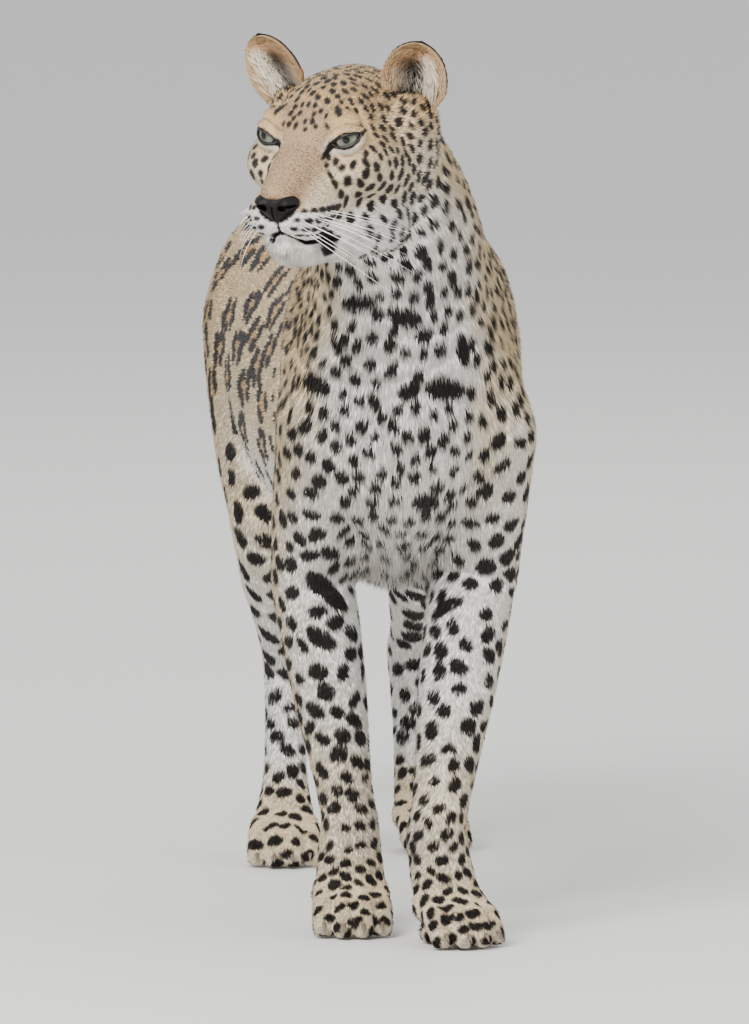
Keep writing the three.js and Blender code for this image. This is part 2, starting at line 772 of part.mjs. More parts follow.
// A lid ring round each eye, in sections of lean past the edge and height over the ball
function lidRing(frame, grown) {
  const section = [
    [-grown, -grown],
    [-grown, lid.thickness * 0.7],
    [1.6, lid.thickness + grown],
    [lid.width * 0.7, lid.thickness * 0.8 + grown],
    [lid.width + grown, 0.6 + grown],
    [lid.width + grown, -grown],
    [lid.width * 0.66, 0.1 - grown],
    [lid.width * 0.33, 0.1 - grown],
  ];
  const rows = Array.from({ length: 30 }, (_, i) => {
    const angle = (Math.PI * i) / 15;
    const edge = lidEdge(angle);
    return section.map(([past, high]) => {
      return onBall(frame, angle, edge + past / eyeRadius, eyeRadius + gap + high);
    });
  });
  return ringSolid(rows);
}

// A grid of points closed both ways round
function ringSolid(rows) {
  const [count, sides] = [rows.length, rows[0].length];
  const at = (row, side) => (row % count) * sides + (side % sides);
  const faces = [];
  for (let r = 0; r < count; r++) {
    for (let s = 0; s < sides; s++) {
      faces.push(at(r, s), at(r, s + 1), at(r + 1, s + 1), at(r, s), at(r + 1, s + 1), at(r + 1, s));
    }
  }
  const geometry = new THREE.BufferGeometry().setFromPoints(rows.flat());
  geometry.setIndex(faces);
  const solid = toSolid(geometry);
  return solid.volume() > 0 ? solid : toSolid(turned(geometry));
}

for (const [word, side] of [["left", 1], ["right", -1]]) {
  const frame = eyeFrame(side);
  head = head.subtract(eyeball(frame, gap)).subtract(lidRing(frame, gap));
  add(`eye_${word}`, eyeball(frame, 0), colours.eye);
  add(`eyelids_${word}`, lidRing(frame, 0), colours.leather);
}
add("head", head, colours.coat);

// Ears: a cupped shell each, its foot cut off clear of the head
function earShell(side) {
  const up = headWay(side * Math.sin(radians(ear.leanOutDeg)), -Math.sin(radians(ear.leanBackDeg)), 1);
  const face = headWay(side * Math.sin(radians(ear.faceOutDeg)), Math.cos(radians(ear.faceOutDeg)), 0);
  face.addScaledVector(up, -face.dot(up)).normalize();
  const across = up.clone().cross(face);
  const foot = headPoint(side * ear.left, ear.forward, ear.up);
  const point = (u, v, thick) => {
    const round = Math.max(0, (v - ear.roundFrom) / (1 - ear.roundFrom));
    const arch = Math.sqrt(Math.max(0, 1 - round ** 2.2));
    const wide = ear.halfWidth * mix(ear.footShare, 1, Math.min(1, v / ear.roundFrom)) * arch;
    const back = ear.cupDepth * (1 - 0.55 * v) * (1 - u * u) * arch - 5 * v * v;
    const at = foot.clone().addScaledVector(up, v * ear.height).addScaledVector(across, u * wide);
    return at.addScaledVector(face, thick * (1 - 0.3 * u * u) - back);
  };
  const steps = Array.from({ length: 11 }, (_, i) => -1 + i / 5);
  const rows = [0, 0.12, 0.24, 0.36, 0.48, 0.6, 0.7, 0.79, 0.87, 0.93, 0.97].map((v) => [
    ...steps.map((u) => point(u, v, ear.thickness / 2)),
    ...steps.map((u) => point(-u, v, -ear.thickness / 2)),
  ]);
  return gridSolid(rows, point(0, 0, 0), point(0, 1, 0));
}
add("ear_left", earShell(1).subtract(grownHead), colours.coat);
add("ear_right", earShell(-1).subtract(grownHead), colours.coat);

// The origin is under the middle of the animal's box, on the floor
for (const mesh of leopard.children) mesh.geometry.translate(-boxMiddle[0], -boxMiddle[1], 0);

export default leopard;
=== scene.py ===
"""A life-size leopard for a museum: one skin under a solid coat, with eyes, lids, nose, whiskers and claws.

Shapes are worked out in millimetres in the body's own frame: +Z up, -Y the way the body faces, +X its left.
"""

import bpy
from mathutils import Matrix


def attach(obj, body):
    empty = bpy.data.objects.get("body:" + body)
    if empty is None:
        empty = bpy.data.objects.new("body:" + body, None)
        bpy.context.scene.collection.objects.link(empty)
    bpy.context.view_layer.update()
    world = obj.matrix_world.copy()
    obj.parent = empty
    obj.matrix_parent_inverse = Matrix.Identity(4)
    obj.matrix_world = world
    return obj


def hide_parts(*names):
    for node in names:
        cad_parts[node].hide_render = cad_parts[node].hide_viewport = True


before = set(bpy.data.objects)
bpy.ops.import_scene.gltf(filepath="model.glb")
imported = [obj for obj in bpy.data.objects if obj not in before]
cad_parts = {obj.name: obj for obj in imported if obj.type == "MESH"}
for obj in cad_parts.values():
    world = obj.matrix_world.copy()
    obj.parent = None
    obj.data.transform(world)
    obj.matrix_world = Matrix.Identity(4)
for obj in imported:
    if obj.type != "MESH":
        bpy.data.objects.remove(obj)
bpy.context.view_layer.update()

import logging
import math
from concurrent.futures import ThreadPoolExecutor
from dataclasses import dataclass, field
from enum import Enum
from math import pi, radians
from typing import Callable, Sequence

import bmesh
import bpy
import numpy as np
import openvdb
from bpy.types import Material, Mesh, NodeSocket, NodeTree, Object
from mathutils import Vector
from mathutils.kdtree import KDTree

LOG = logging.getLogger("leopard")
# The middle of the part's box on the floor, in the body's frame
BOX_MIDDLE = np.array([-16.9, 377.0, 0.0])
UP = np.array([0.0, 0.0, 1.0])
# Further than any distance that counts
FAR = 400.0
# How far from its middle the head's own shapes and colours reach
HEAD_REACH = 200.0
WORKERS = 4
SEED = 7

Points = np.ndarray
Field = Callable[[Points], np.ndarray]
Chance = np.random.Generator


def unit(v: Points) -> Points:
    """Vectors at length one, along the last axis."""
    v = np.asarray(v, float)
    return v / np.maximum(np.linalg.norm(v, axis=-1, keepdims=True), 1e-9)


def dot(a: Points, b: Points) -> Points:
    """Row by row, how far a goes along b."""
    return np.einsum("ij,ij->i", a, b)


def smooth_min(a: Points, b: Points, blend: float) -> Points:
    """The nearer of two distances, rounded where they meet."""
    h = np.maximum(blend - np.abs(a - b), 0) / blend
    return np.minimum(a, b) - h * h * blend * 0.25


def smooth_max(a: Points, b: Points, blend: float) -> Points:
    """The further of two distances, rounded where they meet."""
    return -smooth_min(-a, -b, blend)


def fade(low: float, high: float, x: Points) -> Points:
    """0 below low, 1 above high and a smooth step between."""
    t = np.clip((x - low) / (high - low), 0, 1)
    return t * t * (3 - 2 * t)


def mixed(a: Points, b: Points, t: Points) -> Points:
    """Colours a share t of the way from a to b."""
    return a + (b - a) * np.clip(t, 0, 1)[:, None]


def between(a: Sequence[float], b: Sequence[float], t: float) -> tuple:
    """The point a share t of the way from a to b."""
    return tuple(np.array(a) + (np.array(b) - np.array(a)) * t)


def oval(x: Points, y: Points, z: Points, rx: Points, ry: Points, rz: Points) -> Points:
    """Distance to an oval body with these half sizes, near enough close to its surface."""
    k0 = np.sqrt((x / rx) ** 2 + (y / ry) ** 2 + (z / rz) ** 2)
    k1 = np.sqrt((x / rx**2) ** 2 + (y / ry**2) ** 2 + (z / rz**2) ** 2)
    return k0 * (k0 - 1) / np.maximum(k1, 1e-9)


def in_threads(job: Field, p: Points) -> Points:
    """Runs a field over many points, shared among the cores."""
    parts = np.array_split(p, max(WORKERS, len(p) // 60000 + 1))
    with ThreadPoolExecutor(WORKERS) as pool:
        return np.concatenate(list(pool.map(job, parts)))


def lattice(p: Points, seed: int) -> Points:
    """A fixed random number for each whole-numbered cell."""
    q = p.astype(np.int64)
    h = q[:, 0] * 374761393 + q[:, 1] * 668265263 + q[:, 2] * 2147483647 + seed * 974634777
    h = (h ^ (h >> 13)) * 1274126177
    return ((h ^ (h >> 16)) & 0xFFFF) / 65535.0


def noise(p: Points, size: float, seed: int) -> Points:
    """Smooth noise from -1 to 1, with bumps about size across."""
    q = p / size
    low = np.floor(q)
    t = q - low
    t = t * t * (3 - 2 * t)
    total = np.zeros(len(p))
    for corner in np.ndindex(2, 2, 2):
        weight = np.prod(np.where(corner, t, 1 - t), axis=1)
        total += weight * lattice(low + corner, seed)
    return total * 2 - 1


class Limb:
    """A run of oval sections: x, y, z, half width along the side axis, half depth across it."""

    reach = 75.0

    def __init__(self, rows: Sequence, side: Sequence[float] = (1, 0, 0), steps: int = 4) -> None:
        """Args:
        rows: the sections, from one end to the other.
        side: the axis that a section's width lies along.
        steps: smooth steps drawn between two sections.
        """
        rows = np.array(rows, float)
        padded = np.vstack([rows[:1], rows, rows[-1:]])
        fine = []
        for i in range(len(rows) - 1):
            a, b, c, d = padded[i : i + 4]
            for t in np.arange(steps) / steps:
                bend = (2 * a - 5 * b + 4 * c - d) * t * t + (3 * b - a - 3 * c + d) * t**3
                fine.append(0.5 * (2 * b + (c - a) * t + bend))
        self.rows = np.array([*fine, rows[-1]])
        start, end = self.rows[:-1, :3], self.rows[1:, :3]
        self.length = np.linalg.norm(end - start, axis=1)
        self.run = unit(end - start)
        side = np.array(side, float)
        self.across = unit(side - self.run * (self.run @ side)[:, None])
        self.deep = np.cross(self.run, self.across)
        fat = self.rows[:, 3:].max(1, keepdims=True)
        self.low = (self.rows[:, :3] - fat).min(0) - self.reach
        self.high = (self.rows[:, :3] + fat).max(0) + self.reach

    def distance(self, p: Points) -> Points:
        """Distance from the limb's surface, and a large number far from it."""
        best = np.full(len(p), FAR)
        near = np.all((p > self.low) & (p < self.high), axis=1)
        q = p[near]
        if not len(q):
            return best
        found = np.full(len(q), FAR)
        for i, run in enumerate(self.run):
            rel = q - self.rows[i, :3]
            along = rel @ run
            t = np.clip(along / self.length[i], 0, 1)
            wide = self.rows[i, 3] + (self.rows[i + 1, 3] - self.rows[i, 3]) * t
            deep = self.rows[i, 4] + (self.rows[i + 1, 4] - self.rows[i, 4]) * t
            over = along - t * self.length[i]
            d = oval(rel @ self.across[i], rel @ self.deep[i], over, wide, deep, np.minimum(wide, deep))
            np.minimum(found, d, out=found)
        best[near] = found
        return best

    def way(self, p: Points) -> Points:
        """The limb's direction beside each point."""
        middles = (self.rows[:-1, :3] + self.rows[1:, :3]) / 2
        nearest = np.argmin(((p[:, None, :] - middles[None]) ** 2).sum(2), axis=1)
        return self.run[nearest]


@dataclass
class Eye:
    """Where an eyeball sits in the head's frame, and the almond that its lids leave open."""

    radius: float = 15.5
    left: float = 32.5
    forward: float = 60.5
    up: float = 13.0
    out_deg: float = 22.0
    up_deg: float = 2.0
    half_length: float = 13.5
    half_upper: float = 3.7
    half_lower: float = 5.1
    slant_deg: float = 17.0

    def axes(self) -> tuple[Points, Points]:
        """Returns the ball's centre and the frame x outer corner, y up, z pupil, for the left eye."""
        out, up = radians(self.out_deg), radians(self.up_deg)
        z = unit([math.sin(out), -math.cos(out), math.sin(up)])
        y = unit(np.array([0, 0, 1]) - z * z[2])
        return np.array([self.left, -self.forward, self.up]), np.array([np.cross(y, z), y, z])

    def edge(self, angle: Points) -> Points:
        """How far the lids' edge leans from the pupil's line, in radians."""
        turned = angle - radians(self.slant_deg)
        high = np.where(np.sin(turned) > 0, self.half_upper, self.half_lower)
        across = np.abs(np.cos(turned) / self.half_length) ** 1.5
        return (across + np.abs(np.sin(turned) / high) ** 1.5) ** (-1 / 1.5) / self.radius

    def polar(self, q: Points) -> tuple[Points, Points, Points]:
        """Radius from the ball's centre, lean from the pupil's line and angle round it."""
        centre, frame_axes = self.axes()
        local = (q - centre) @ frame_axes.T
        r = np.maximum(np.linalg.norm(local, axis=1), 1e-6)
        lean = np.arccos(np.clip(local[:, 2] / r, -1, 1))
        return r, lean, np.arctan2(local[:, 1], local[:, 0])


@dataclass
class Head:
    """The head in its own frame: left, then -forward, then up, in millimetres from between the ears."""

    centre: tuple[float, float, float] = (-60, -92, 677)
    yaw_deg: float = 34.0
    pitch_deg: float = 8.0
    eye: Eye = field(default_factory=Eye)
    # left, forward, up, half width, half length, half height, nose-down tilt, blend
    masses: tuple = (
        (0, -4, 7, 52, 60, 49, 0, 20),
        (0, 36, 19, 43, 44, 34, 20, 20),
        (0, 40, -46, 36, 52, 24, 0, 18),
        (44, 42, -14, 23, 38, 26, 0, 16),
        (40, 8, -24, 27, 40, 36, 0, 18),
        (58, -14, 3, 21, 24, 34, 0, 18),
        (29, 62, 27, 17, 11, 9, 10, 10),
        (16.5, 113, -43, 19, 22, 15.5, 10, 7),
        (0, 105, -72, 20, 17, 15, 0, 8),
    )
    # blend, then left, forward, up, half width, half height
    runs: tuple = (
        (14, ((0, 52, 12, 28, 22), (0, 84, -3, 21, 18), (0, 112, -14, 19, 14), (0, 131, -22, 16, 11))),
        (16, ((0, 58, -24, 42, 36), (0, 88, -34, 37, 30), (0, 112, -41, 29, 22))),
        (12, ((9, 98, -72, 15, 14), (26, 66, -73, 20, 19), (38, 24, -64, 24, 30))),
    )
    mouth_heart: float = 78.0
    mouth_front: float = -55.0
    mouth_corner: float = -67.0

    def __post_init__(self) -> None:
        """Turns the yaw and pitch into a matrix whose rows are the head's axes."""
        yaw, pitch = radians(-self.yaw_deg), radians(self.pitch_deg)
        cos, sin = math.cos(yaw), math.sin(yaw)
        turn = np.array([[cos, -sin, 0], [sin, cos, 0], [0, 0, 1]])
        cos, sin = math.cos(pitch), math.sin(pitch)
        nod = np.array([[1, 0, 0], [0, cos, -sin], [0, sin, cos]])
        self.matrix = turn @ nod
        self.limbs = [(b, Limb([(l, -f, u, w, h) for l, f, u, w, h in rows])) for b, rows in self.runs]

    def to_local(self, p: Points) -> Points:
        """Points in the head's frame."""
        return (p - np.array(self.centre)) @ self.matrix

    def to_body(self, q: Points) -> Points:
        """Points of the head's frame in the body's frame."""
        return np.asarray(q, float) @ self.matrix.T + np.array(self.centre)

    def plain(self, p: Points) -> Points:
        """Distance to the head as the solids have it."""
        far = np.full(len(p), FAR)
        near = np.linalg.norm(p - np.array(self.centre), axis=1) < 260
        q = self.to_local(p[near])
        if not len(q):
            return far
        q[:, 0] = np.abs(q[:, 0])
        d = None
        for left, fwd, up, w, n, h, tilt, blend in self.masses:
            c, s = math.cos(radians(tilt)), math.sin(radians(tilt))
            dy, dz = q[:, 1] + fwd, q[:, 2] - up
            part = oval(q[:, 0] - left, dy * c + dz * s, dz * c - dy * s, w, n, h)
            d = part if d is None else smooth_min(d, part, blend)
        for blend, limb in self.limbs:
            d = smooth_min(d, limb.distance(q), blend)
        centre, axes = self.eye.axes()
        socket = centre + axes[2] * (self.eye.radius + 5)
        d = smooth_max(d, 13 - np.linalg.norm(q - socket, axis=1), 10)
        d = smooth_min(d, np.linalg.norm(q - centre, axis=1) - self.eye.radius - 1, 4)
        far[near] = d
        return far

    def mouth_line(self, turned: Points) -> Points:
        """How high the mouth's line is, going round from the philtrum: it drops from there to the corners."""
        drop = 0.8 * fade(0.04, 0.42, turned) + 0.2 * np.clip(turned / 1.29, 0, 1)
        return self.mouth_front + (self.mouth_corner - self.mouth_front) * drop

    def carve(self, p: Points, d: Points) -> Points:
        """Opens the lids, the mouth line and the split of the upper lip in the skin."""
        near = np.flatnonzero(np.linalg.norm(p - np.array(self.centre), axis=1) < 220)
        q = self.to_local(p[near])
        q[:, 0] = np.abs(q[:, 0])
        skin = d[near]
        r, lean, angle = self.eye.polar(q)
        open_by = (self.eye.edge(angle) - lean) * self.eye.radius
        lid = np.maximum(r - self.eye.radius - 1.9, (lean - self.eye.edge(angle)) * self.eye.radius - 8.0)
        skin = smooth_min(skin, lid, 4.5)
        skin = smooth_max(skin, np.minimum(open_by, r - self.eye.radius + 1.5), 0.8)
        heart = q - np.array([0, -self.mouth_heart, 0])
        turned = np.arctan2(np.abs(heart[:, 0]), -heart[:, 1])
        line = self.mouth_line(turned)
        groove = np.hypot((q[:, 2] - line) / 1.5, (skin + 0.5) / 3.2) - 1
        groove = np.where(turned < 1.27, groove * 1.5, 9.0)
        skin = smooth_max(skin, -groove, 1.2)
        split = np.hypot(q[:, 0] / 1.0, (skin + 0.3) / 2.4) - 1
        split = np.where((q[:, 2] > line) & (q[:, 2] < -38) & (q[:, 1] < -100), split, 9.0)
        skin = smooth_max(skin, -split, 0.8)
        out = d.copy()
        out[near] = skin
        return out


@dataclass
class Leg:
    """One leg's stance: where its paw, and its hip and stifle or shoulder and elbow, are."""

    paw: tuple[float, float]
    heading_deg: float
    upper: tuple[float, float, float]
    middle: tuple[float, float, float]
    hind: bool
    paw_flat: float = 4.0

    def __post_init__(self) -> None:
        """Builds the leg's run of sections, its muscles, toes and pad."""
        self.size = 0.93 if self.hind else 1.0
        turn = radians(self.heading_deg)
        self.cos, self.sin = math.cos(turn), math.sin(turn)
        self.side = (self.cos, self.sin, 0)
        sign = math.copysign(1, self.upper[0])
        rows, self.masses = self.hind_shape(sign) if self.hind else self.fore_shape(sign)
        self.limb = Limb(rows, self.side)
        self.toes = [self.toe(slot) for slot in (-1.5, -0.5, 0.5, 1.5)]
        ball = 15 * self.size
        pad = [(*self.place(left, -6, 14 - self.paw_flat), ball, ball) for left in (-9, 9)]
        self.pad = Limb(pad, (0, 0, 1), 1)

    def hind_shape(self, sign: float) -> tuple[list, list]:
        """A hind leg's sections and muscles; sign is 1 on the animal's left and -1 on its right."""
        (ux, uy, uz), (mx, my, mz) = self.upper, self.middle
        hock = self.place(0, -52, 172)
        half = between(self.upper, self.middle, 0.5)
        calf = between(self.middle, hock, 0.3)
        rows = [
            (ux, uy, uz, 52, 88),
            (half[0] + sign * 2, half[1] + 12, half[2], 49, 80),
            (mx, my + 6, mz, 38, 54),
            (*between(self.middle, hock, 0.45), 30, 37),
            (*between(self.middle, hock, 0.82), 21, 24),
            (*hock, 20, 25),
            (*self.place(0, -44, 120), 18.5, 20),
            (*self.place(0, -32, 75), 20, 20),
            (*self.place(0, -14, 42), 26, 19),
            (*self.place(0, 0, 30), 28, 17),
        ]
        muscles = [
            (calf[0], calf[1] + 16, calf[2] + 10, 27, 34, 50),
            (hock[0], hock[1] + 14, hock[2] + 10, 12, 13, 20),
            (ux + sign * 4, uy + 62, uz - 60, 42, 34, 66),
        ]
        return rows, muscles

    def fore_shape(self, sign: float) -> tuple[list, list]:
        """A foreleg's sections and muscles; sign is 1 on the animal's left and -1 on its right."""
        (ux, uy, uz), (mx, my, mz) = self.upper, self.middle
        wrist = self.place(0, -24, 92)
        # share of the way from elbow to wrist, half width, half depth
        sizes = [(0, 35, 50), (0.22, 35, 43), (0.48, 32.5, 36), (0.72, 27.5, 30), (0.9, 24.5, 27)]
        rows = [
            (ux, uy, uz, 38, 60),
            (*between(self.upper, self.middle, 0.55), 38, 58),
            *[(*between(self.middle, wrist, t), w, h) for t, w, h in sizes],
            (*wrist, 25, 27),
            (*self.place(0, -16, 62), 28, 24),
            (*self.place(0, -2, 36), 31, 20),
        ]
        return rows, [(mx + sign * 2, my + 34, mz + 16, 20, 22, 32), (*self.place(0, -40, 78), 12, 11, 13)]

    def toe(self, slot: float) -> Limb:
        """One toe; slot counts across the paw from its middle."""
        reach = 24 if abs(slot) > 1 else 34
        spread = slot * 15.5
        rows = [
            (*self.place(spread * 0.85, reach - 26, 32), 12, 13),
            (*self.place(spread, reach - 4, 25), 11.5, 12),
            (*self.place(spread * 1.04, reach + 9, 13 - self.paw_flat), 10.5, 10.5),
        ]
        rows = [(x, y, z, wide * self.size, deep * self.size) for x, y, z, wide, deep in rows]
        return Limb(rows, self.side, 2)

    def place(self, left: float, forward: float, up: float) -> tuple[float, float, float]:
        """A point of the paw's own frame."""
        x = self.paw[0] + self.size * (left * self.cos + forward * self.sin)
        y = self.paw[1] + self.size * (left * self.sin - forward * self.cos)
        return x, y, up * self.size

    def distance(self, p: Points) -> Points:
        """Distance from the leg's surface."""
        far = np.full(len(p), FAR)
        near = np.all((p > self.limb.low) & (p < self.limb.high), axis=1)
        q = p[near]
        if not len(q):
            return far
        d = self.limb.distance(q)
        for x, y, z, w, n, h in self.masses:
            d = smooth_min(d, oval(q[:, 0] - x, q[:, 1] - y, q[:, 2] - z, w, n, h), 16)
        foot = self.pad.distance(q)
        for toe in self.toes:
            foot = smooth_min(foot, toe.distance(q), 4)
        far[near] = smooth_min(d, foot, 9)
        return far


class Part(Enum):
    """The parts of the body that the coat's lie, length and markings go by."""

    TRUNK = 0
    NECK = 1
    HEAD = 2
    TAIL = 3
    FORELEG_LEFT = 4
    FORELEG_RIGHT = 5
    HINDLEG_LEFT = 6
    HINDLEG_RIGHT = 7


@dataclass
class Body:
    """The whole animal as one smooth field."""

    head: Head = field(default_factory=Head)
    # y, top, bottom, half width, and how far its middle is to the left
    trunk_profile: tuple = (
        (-52, 470, 372, 44, 0),
        (-25, 520, 330, 74, 0),
        (10, 550, 302, 88, 0),
        (60, 566, 290, 95, 0),
        (130, 562, 288, 101, 0),
        (210, 557, 290, 104, -2),
        (300, 556, 302, 106, -6),
        (380, 562, 322, 103, -9),
        (450, 568, 344, 102, -9),
        (520, 562, 376, 93, -6),
        (560, 540, 408, 75, -3),
        (584, 512, 436, 46, 0),
    )
    # left, y, z, half width, half length, half height, on both sides
    trunk_masses: tuple = (
        (58, 42, 492, 36, 54, 74),
        (62, 40, 385, 36, 66, 76),
        (52, -18, 425, 44, 44, 66),
        (34, -40, 440, 44, 38, 74),
        (42, 500, 490, 54, 66, 62),
        (36, 400, 352, 46, 60, 40),
    )
    # x, y, z, half width, half depth
    neck_profile: tuple = (
        (0, 14, 475, 84, 106),
        (-4, -14, 545, 77, 94),
        (-15, -38, 600, 69, 80),
        (-36, -62, 648, 62, 66),
        (-50, -80, 672, 52, 54),
    )
    # x, y, z, radius
    tail_profile: tuple = (
        (0, 560, 516, 27),
        (2, 606, 496, 23),
        (6, 648, 444, 20),
        (10, 676, 370, 18.5),
        (14, 688, 285, 17.5),
        (18, 704, 205, 17),
        (22, 740, 138, 16.5),
        (26, 796, 98, 16.5),
        (30, 860, 92, 16),
        (34, 918, 112, 14.5),
        (38, 955, 150, 10),
    )
    # how softly each meets the trunk
    neck_blend: float = 46.0
    leg_blend: float = 26.0
    head_blend: float = 22.0
    tail_blend: float = 14.0

    def __post_init__(self) -> None:
        """Builds the limbs."""
        profile = self.trunk_profile
        rows = [(x, y, (top + low) / 2, wide, (top - low) / 2) for y, top, low, wide, x in profile]
        self.trunk = Limb(rows)
        self.neck = Limb(self.neck_profile, (math.cos(radians(18)), -math.sin(radians(18)), 0))
        self.tail = Limb([(x, y, z, r, r) for x, y, z, r in self.tail_profile])
        self.legs = {
            Part.FORELEG_LEFT: Leg((25, -100), 20, (66, -18, 420), (60, 14, 300), False),
            Part.FORELEG_RIGHT: Leg((-48, -20), -4, (-68, -8, 420), (-75, 34, 300), False),
            Part.HINDLEG_LEFT: Leg((84, 528), 10, (58, 492, 452), (74, 424, 310), True),
            Part.HINDLEG_RIGHT: Leg((-48, 446), -8, (-58, 480, 452), (-66, 384, 308), True),
        }

    def parts(self, p: Points) -> dict[Part, Points]:
        """Distance from each part of the body."""
        trunk = self.trunk.distance(p)
        for x, y, z, w, n, h in self.trunk_masses:
            trunk = smooth_min(trunk, oval(np.abs(p[:, 0]) - x, p[:, 1] - y, p[:, 2] - z, w, n, h), 26)
        found = {Part.TRUNK: trunk, Part.NECK: self.neck.distance(p), Part.HEAD: self.head.plain(p)}
        found[Part.TAIL] = self.tail.distance(p)
        for part, leg in self.legs.items():
            found[part] = leg.distance(p)
        return found

    def outline(self, p: Points) -> Points:
        """Distance from the coat's outside, as the solids have it."""
        found = self.parts(p)
        d = smooth_min(found[Part.TRUNK], found[Part.NECK], self.neck_blend)
        for part in self.legs:
            d = smooth_min(d, found[part], self.leg_blend)
        d = smooth_min(d, found[Part.HEAD], self.head_blend)
        d = smooth_min(d, found[Part.TAIL], self.tail_blend)
        return np.maximum(d, -p[:, 2])

    def weights(self, p: Points) -> Points:
        """How much each part counts at each point, a row of eight numbers adding up to one."""
        found = self.parts(p)
        table = np.stack([found[part] for part in Part], axis=1)
        table -= table.min(1, keepdims=True)
        w = np.exp(-table / 13.0)
        return w / w.sum(1, keepdims=True)

    def coat_depth(self, p: Points) -> Points:
        """How far the skin lies under the coat's outside."""
        q = self.head.to_local(p)
        face = fade(-60, 60, -q[:, 1]) * (np.linalg.norm(q, axis=1) < HEAD_REACH)
        low = fade(150, 40, p[:, 2]) * (p[:, 1] < 620)
        leg = fade(330, 280, p[:, 2]) * (p[:, 1] < 620)
        depth = 3.6 - 1.6 * face - 1.2 * leg - 0.6 * low
        front = fade(40, -30, p[:, 1]) * fade(270, 330, p[:, 2]) * fade(640, 560, p[:, 2])
        return depth + 2.0 * front * (1 - face)

    def skin(self, p: Points) -> Points:
        """Distance from the skin, with the head's openings."""
        d = self.outline(p) + self.coat_depth(p)
        return np.maximum(self.head.carve(p, d), 1.2 - p[:, 2])

    def normals(self, p: Points, surface: Field | None = None, reach: float = 0.6) -> Points:
        """The way out of a field at each point."""
        surface = surface or self.skin
        grad = np.zeros_like(p)
        for axis in range(3):
            step = np.zeros(3)
            step[axis] = reach
            grad[:, axis] = in_threads(surface, p + step) - in_threads(surface, p - step)
        return unit(grad)

    def lie(self, p: Points, n: Points, w: Points) -> Points:
        """The way the hair lies at points of the skin, along the skin."""
        q = self.head.to_local(p)
        away = q - np.array([0, -142, -20])
        away[:, 2] -= 0.35 * np.maximum(0, -q[:, 2]) + 0.1
        head = unit(away) @ self.head.matrix.T
        trunk = unit(np.stack([0 * p[:, 0], np.ones(len(p)), -0.45 * fade(480, 380, p[:, 2])], 1))
        chest = fade(30, -30, p[:, 1])[:, None]
        trunk = unit(trunk * (1 - chest) + np.array([0, 0.1, -1]) * chest)
        neck = unit(-self.neck.way(p) + np.array([0, 0, -0.4]))
        down = np.array([0, 0.25, -1.0])
        ways = [trunk, neck, head, self.tail.way(p)]
        for leg in self.legs.values():
            ahead = np.array([leg.sin, -leg.cos, -0.35])
            foot = fade(70, 35, p[:, 2])[:, None]
            ways.append(unit(down * (1 - foot) + ahead * foot))
        total = sum(w[:, k : k + 1] * way for k, way in enumerate(ways))
        return unit(total - n * dot(total, n)[:, None])


class Mesher:
    """Turns a field into a closed mesh."""

    def __init__(self, surface: Field, low: Sequence[float], high: Sequence[float], step: float) -> None:
        """Args:
        surface: the field, negative inside.
        low: the grid's lowest corner.
        high: its highest corner.
        step: the grid's spacing.
        """
        self.surface, self.step = surface, step
        self.low = np.array(low, float)
        self.count = np.ceil((np.array(high) - self.low) / (4 * step)).astype(int) * 4 + 1

    def grid(self) -> Points:
        """The field on a fine grid, worked out in full only near the surface."""
        coarse_count = (self.count - 1) // 4 + 1
        axes = [self.low[k] + 4 * self.step * np.arange(coarse_count[k]) for k in range(3)]
        corners = np.stack(np.meshgrid(*axes, indexing="ij"), axis=-1).reshape(-1, 3)
        values = in_threads(self.surface, corners).reshape(coarse_count).astype(np.float32)
        for axis in range(3):
            lower = np.take(values, range(values.shape[axis] - 1), axis=axis)
            upper = np.take(values, range(1, values.shape[axis]), axis=axis)
            steps = [lower + (upper - lower) * (k / 4) for k in range(4)]
            shape = list(lower.shape)
            shape[axis] *= 4
            between = np.stack(steps, axis=axis + 1).reshape(shape)
            last = np.take(values, [values.shape[axis] - 1], axis=axis)
            values = np.concatenate([between, last], axis=axis)
        near = np.argwhere(np.abs(values) < 2.0 * self.step + 1.5)
        values[tuple(near.T)] = in_threads(self.surface, self.low + near * self.step)
        return values

    def build(self) -> tuple[Points, Points]:
        """Returns the vertices and the four-sided faces."""
        vdb = openvdb.FloatGrid()
        vdb.copyFromArray(np.ascontiguousarray(self.grid()))
        points, quads = vdb.convertToQuads(isovalue=0.0)
        points = np.asarray(points, float) * self.step + self.low
        for _ in range(2):
            d = in_threads(self.surface, points)
            n = np.zeros_like(points)
            for axis in range(3):
                nudge = np.zeros(3)
                nudge[axis] = 0.3
                n[:, axis] = (in_threads(self.surface, points + nudge) - d) / 0.3
            slope = np.maximum((n**2).sum(1), 0.2)
            move = n * (d / slope)[:, None]
            points -= np.clip(move, -self.step, self.step)
        return points, np.asarray(quads)


def metres(p: Points) -> Points:
    """Millimetres of the body's frame in metres of the part's."""
    return (np.asarray(p, float) - BOX_MIDDLE) / 1000


def show(name: str, data: bpy.types.ID) -> Object:
    """Puts a mesh, lamp or camera into the scene as an object at the origin."""
    made = bpy.data.objects.new(name, data)
    bpy.context.scene.collection.objects.link(made)
    return made


def smooth(mesh: Mesh) -> None:
    """Shades every face smooth."""
    mesh.polygons.foreach_set("use_smooth", [True] * len(mesh.polygons))


def make_mesh(name: str, points: Points, faces: Sequence) -> Object:
    """Makes a smooth object from points in millimetres.

    Args:
        name: the object's name.
        points: its vertices.
        faces: its faces, as rows of vertex numbers.

    Returns:
        The new object, at the origin.
    """
    mesh = bpy.data.meshes.new(name)
    mesh.from_pydata(metres(points).tolist(), [], [list(map(int, f)) for f in faces])
    mesh.validate()
    smooth(mesh)
    mesh.update()
    return show(name, mesh)


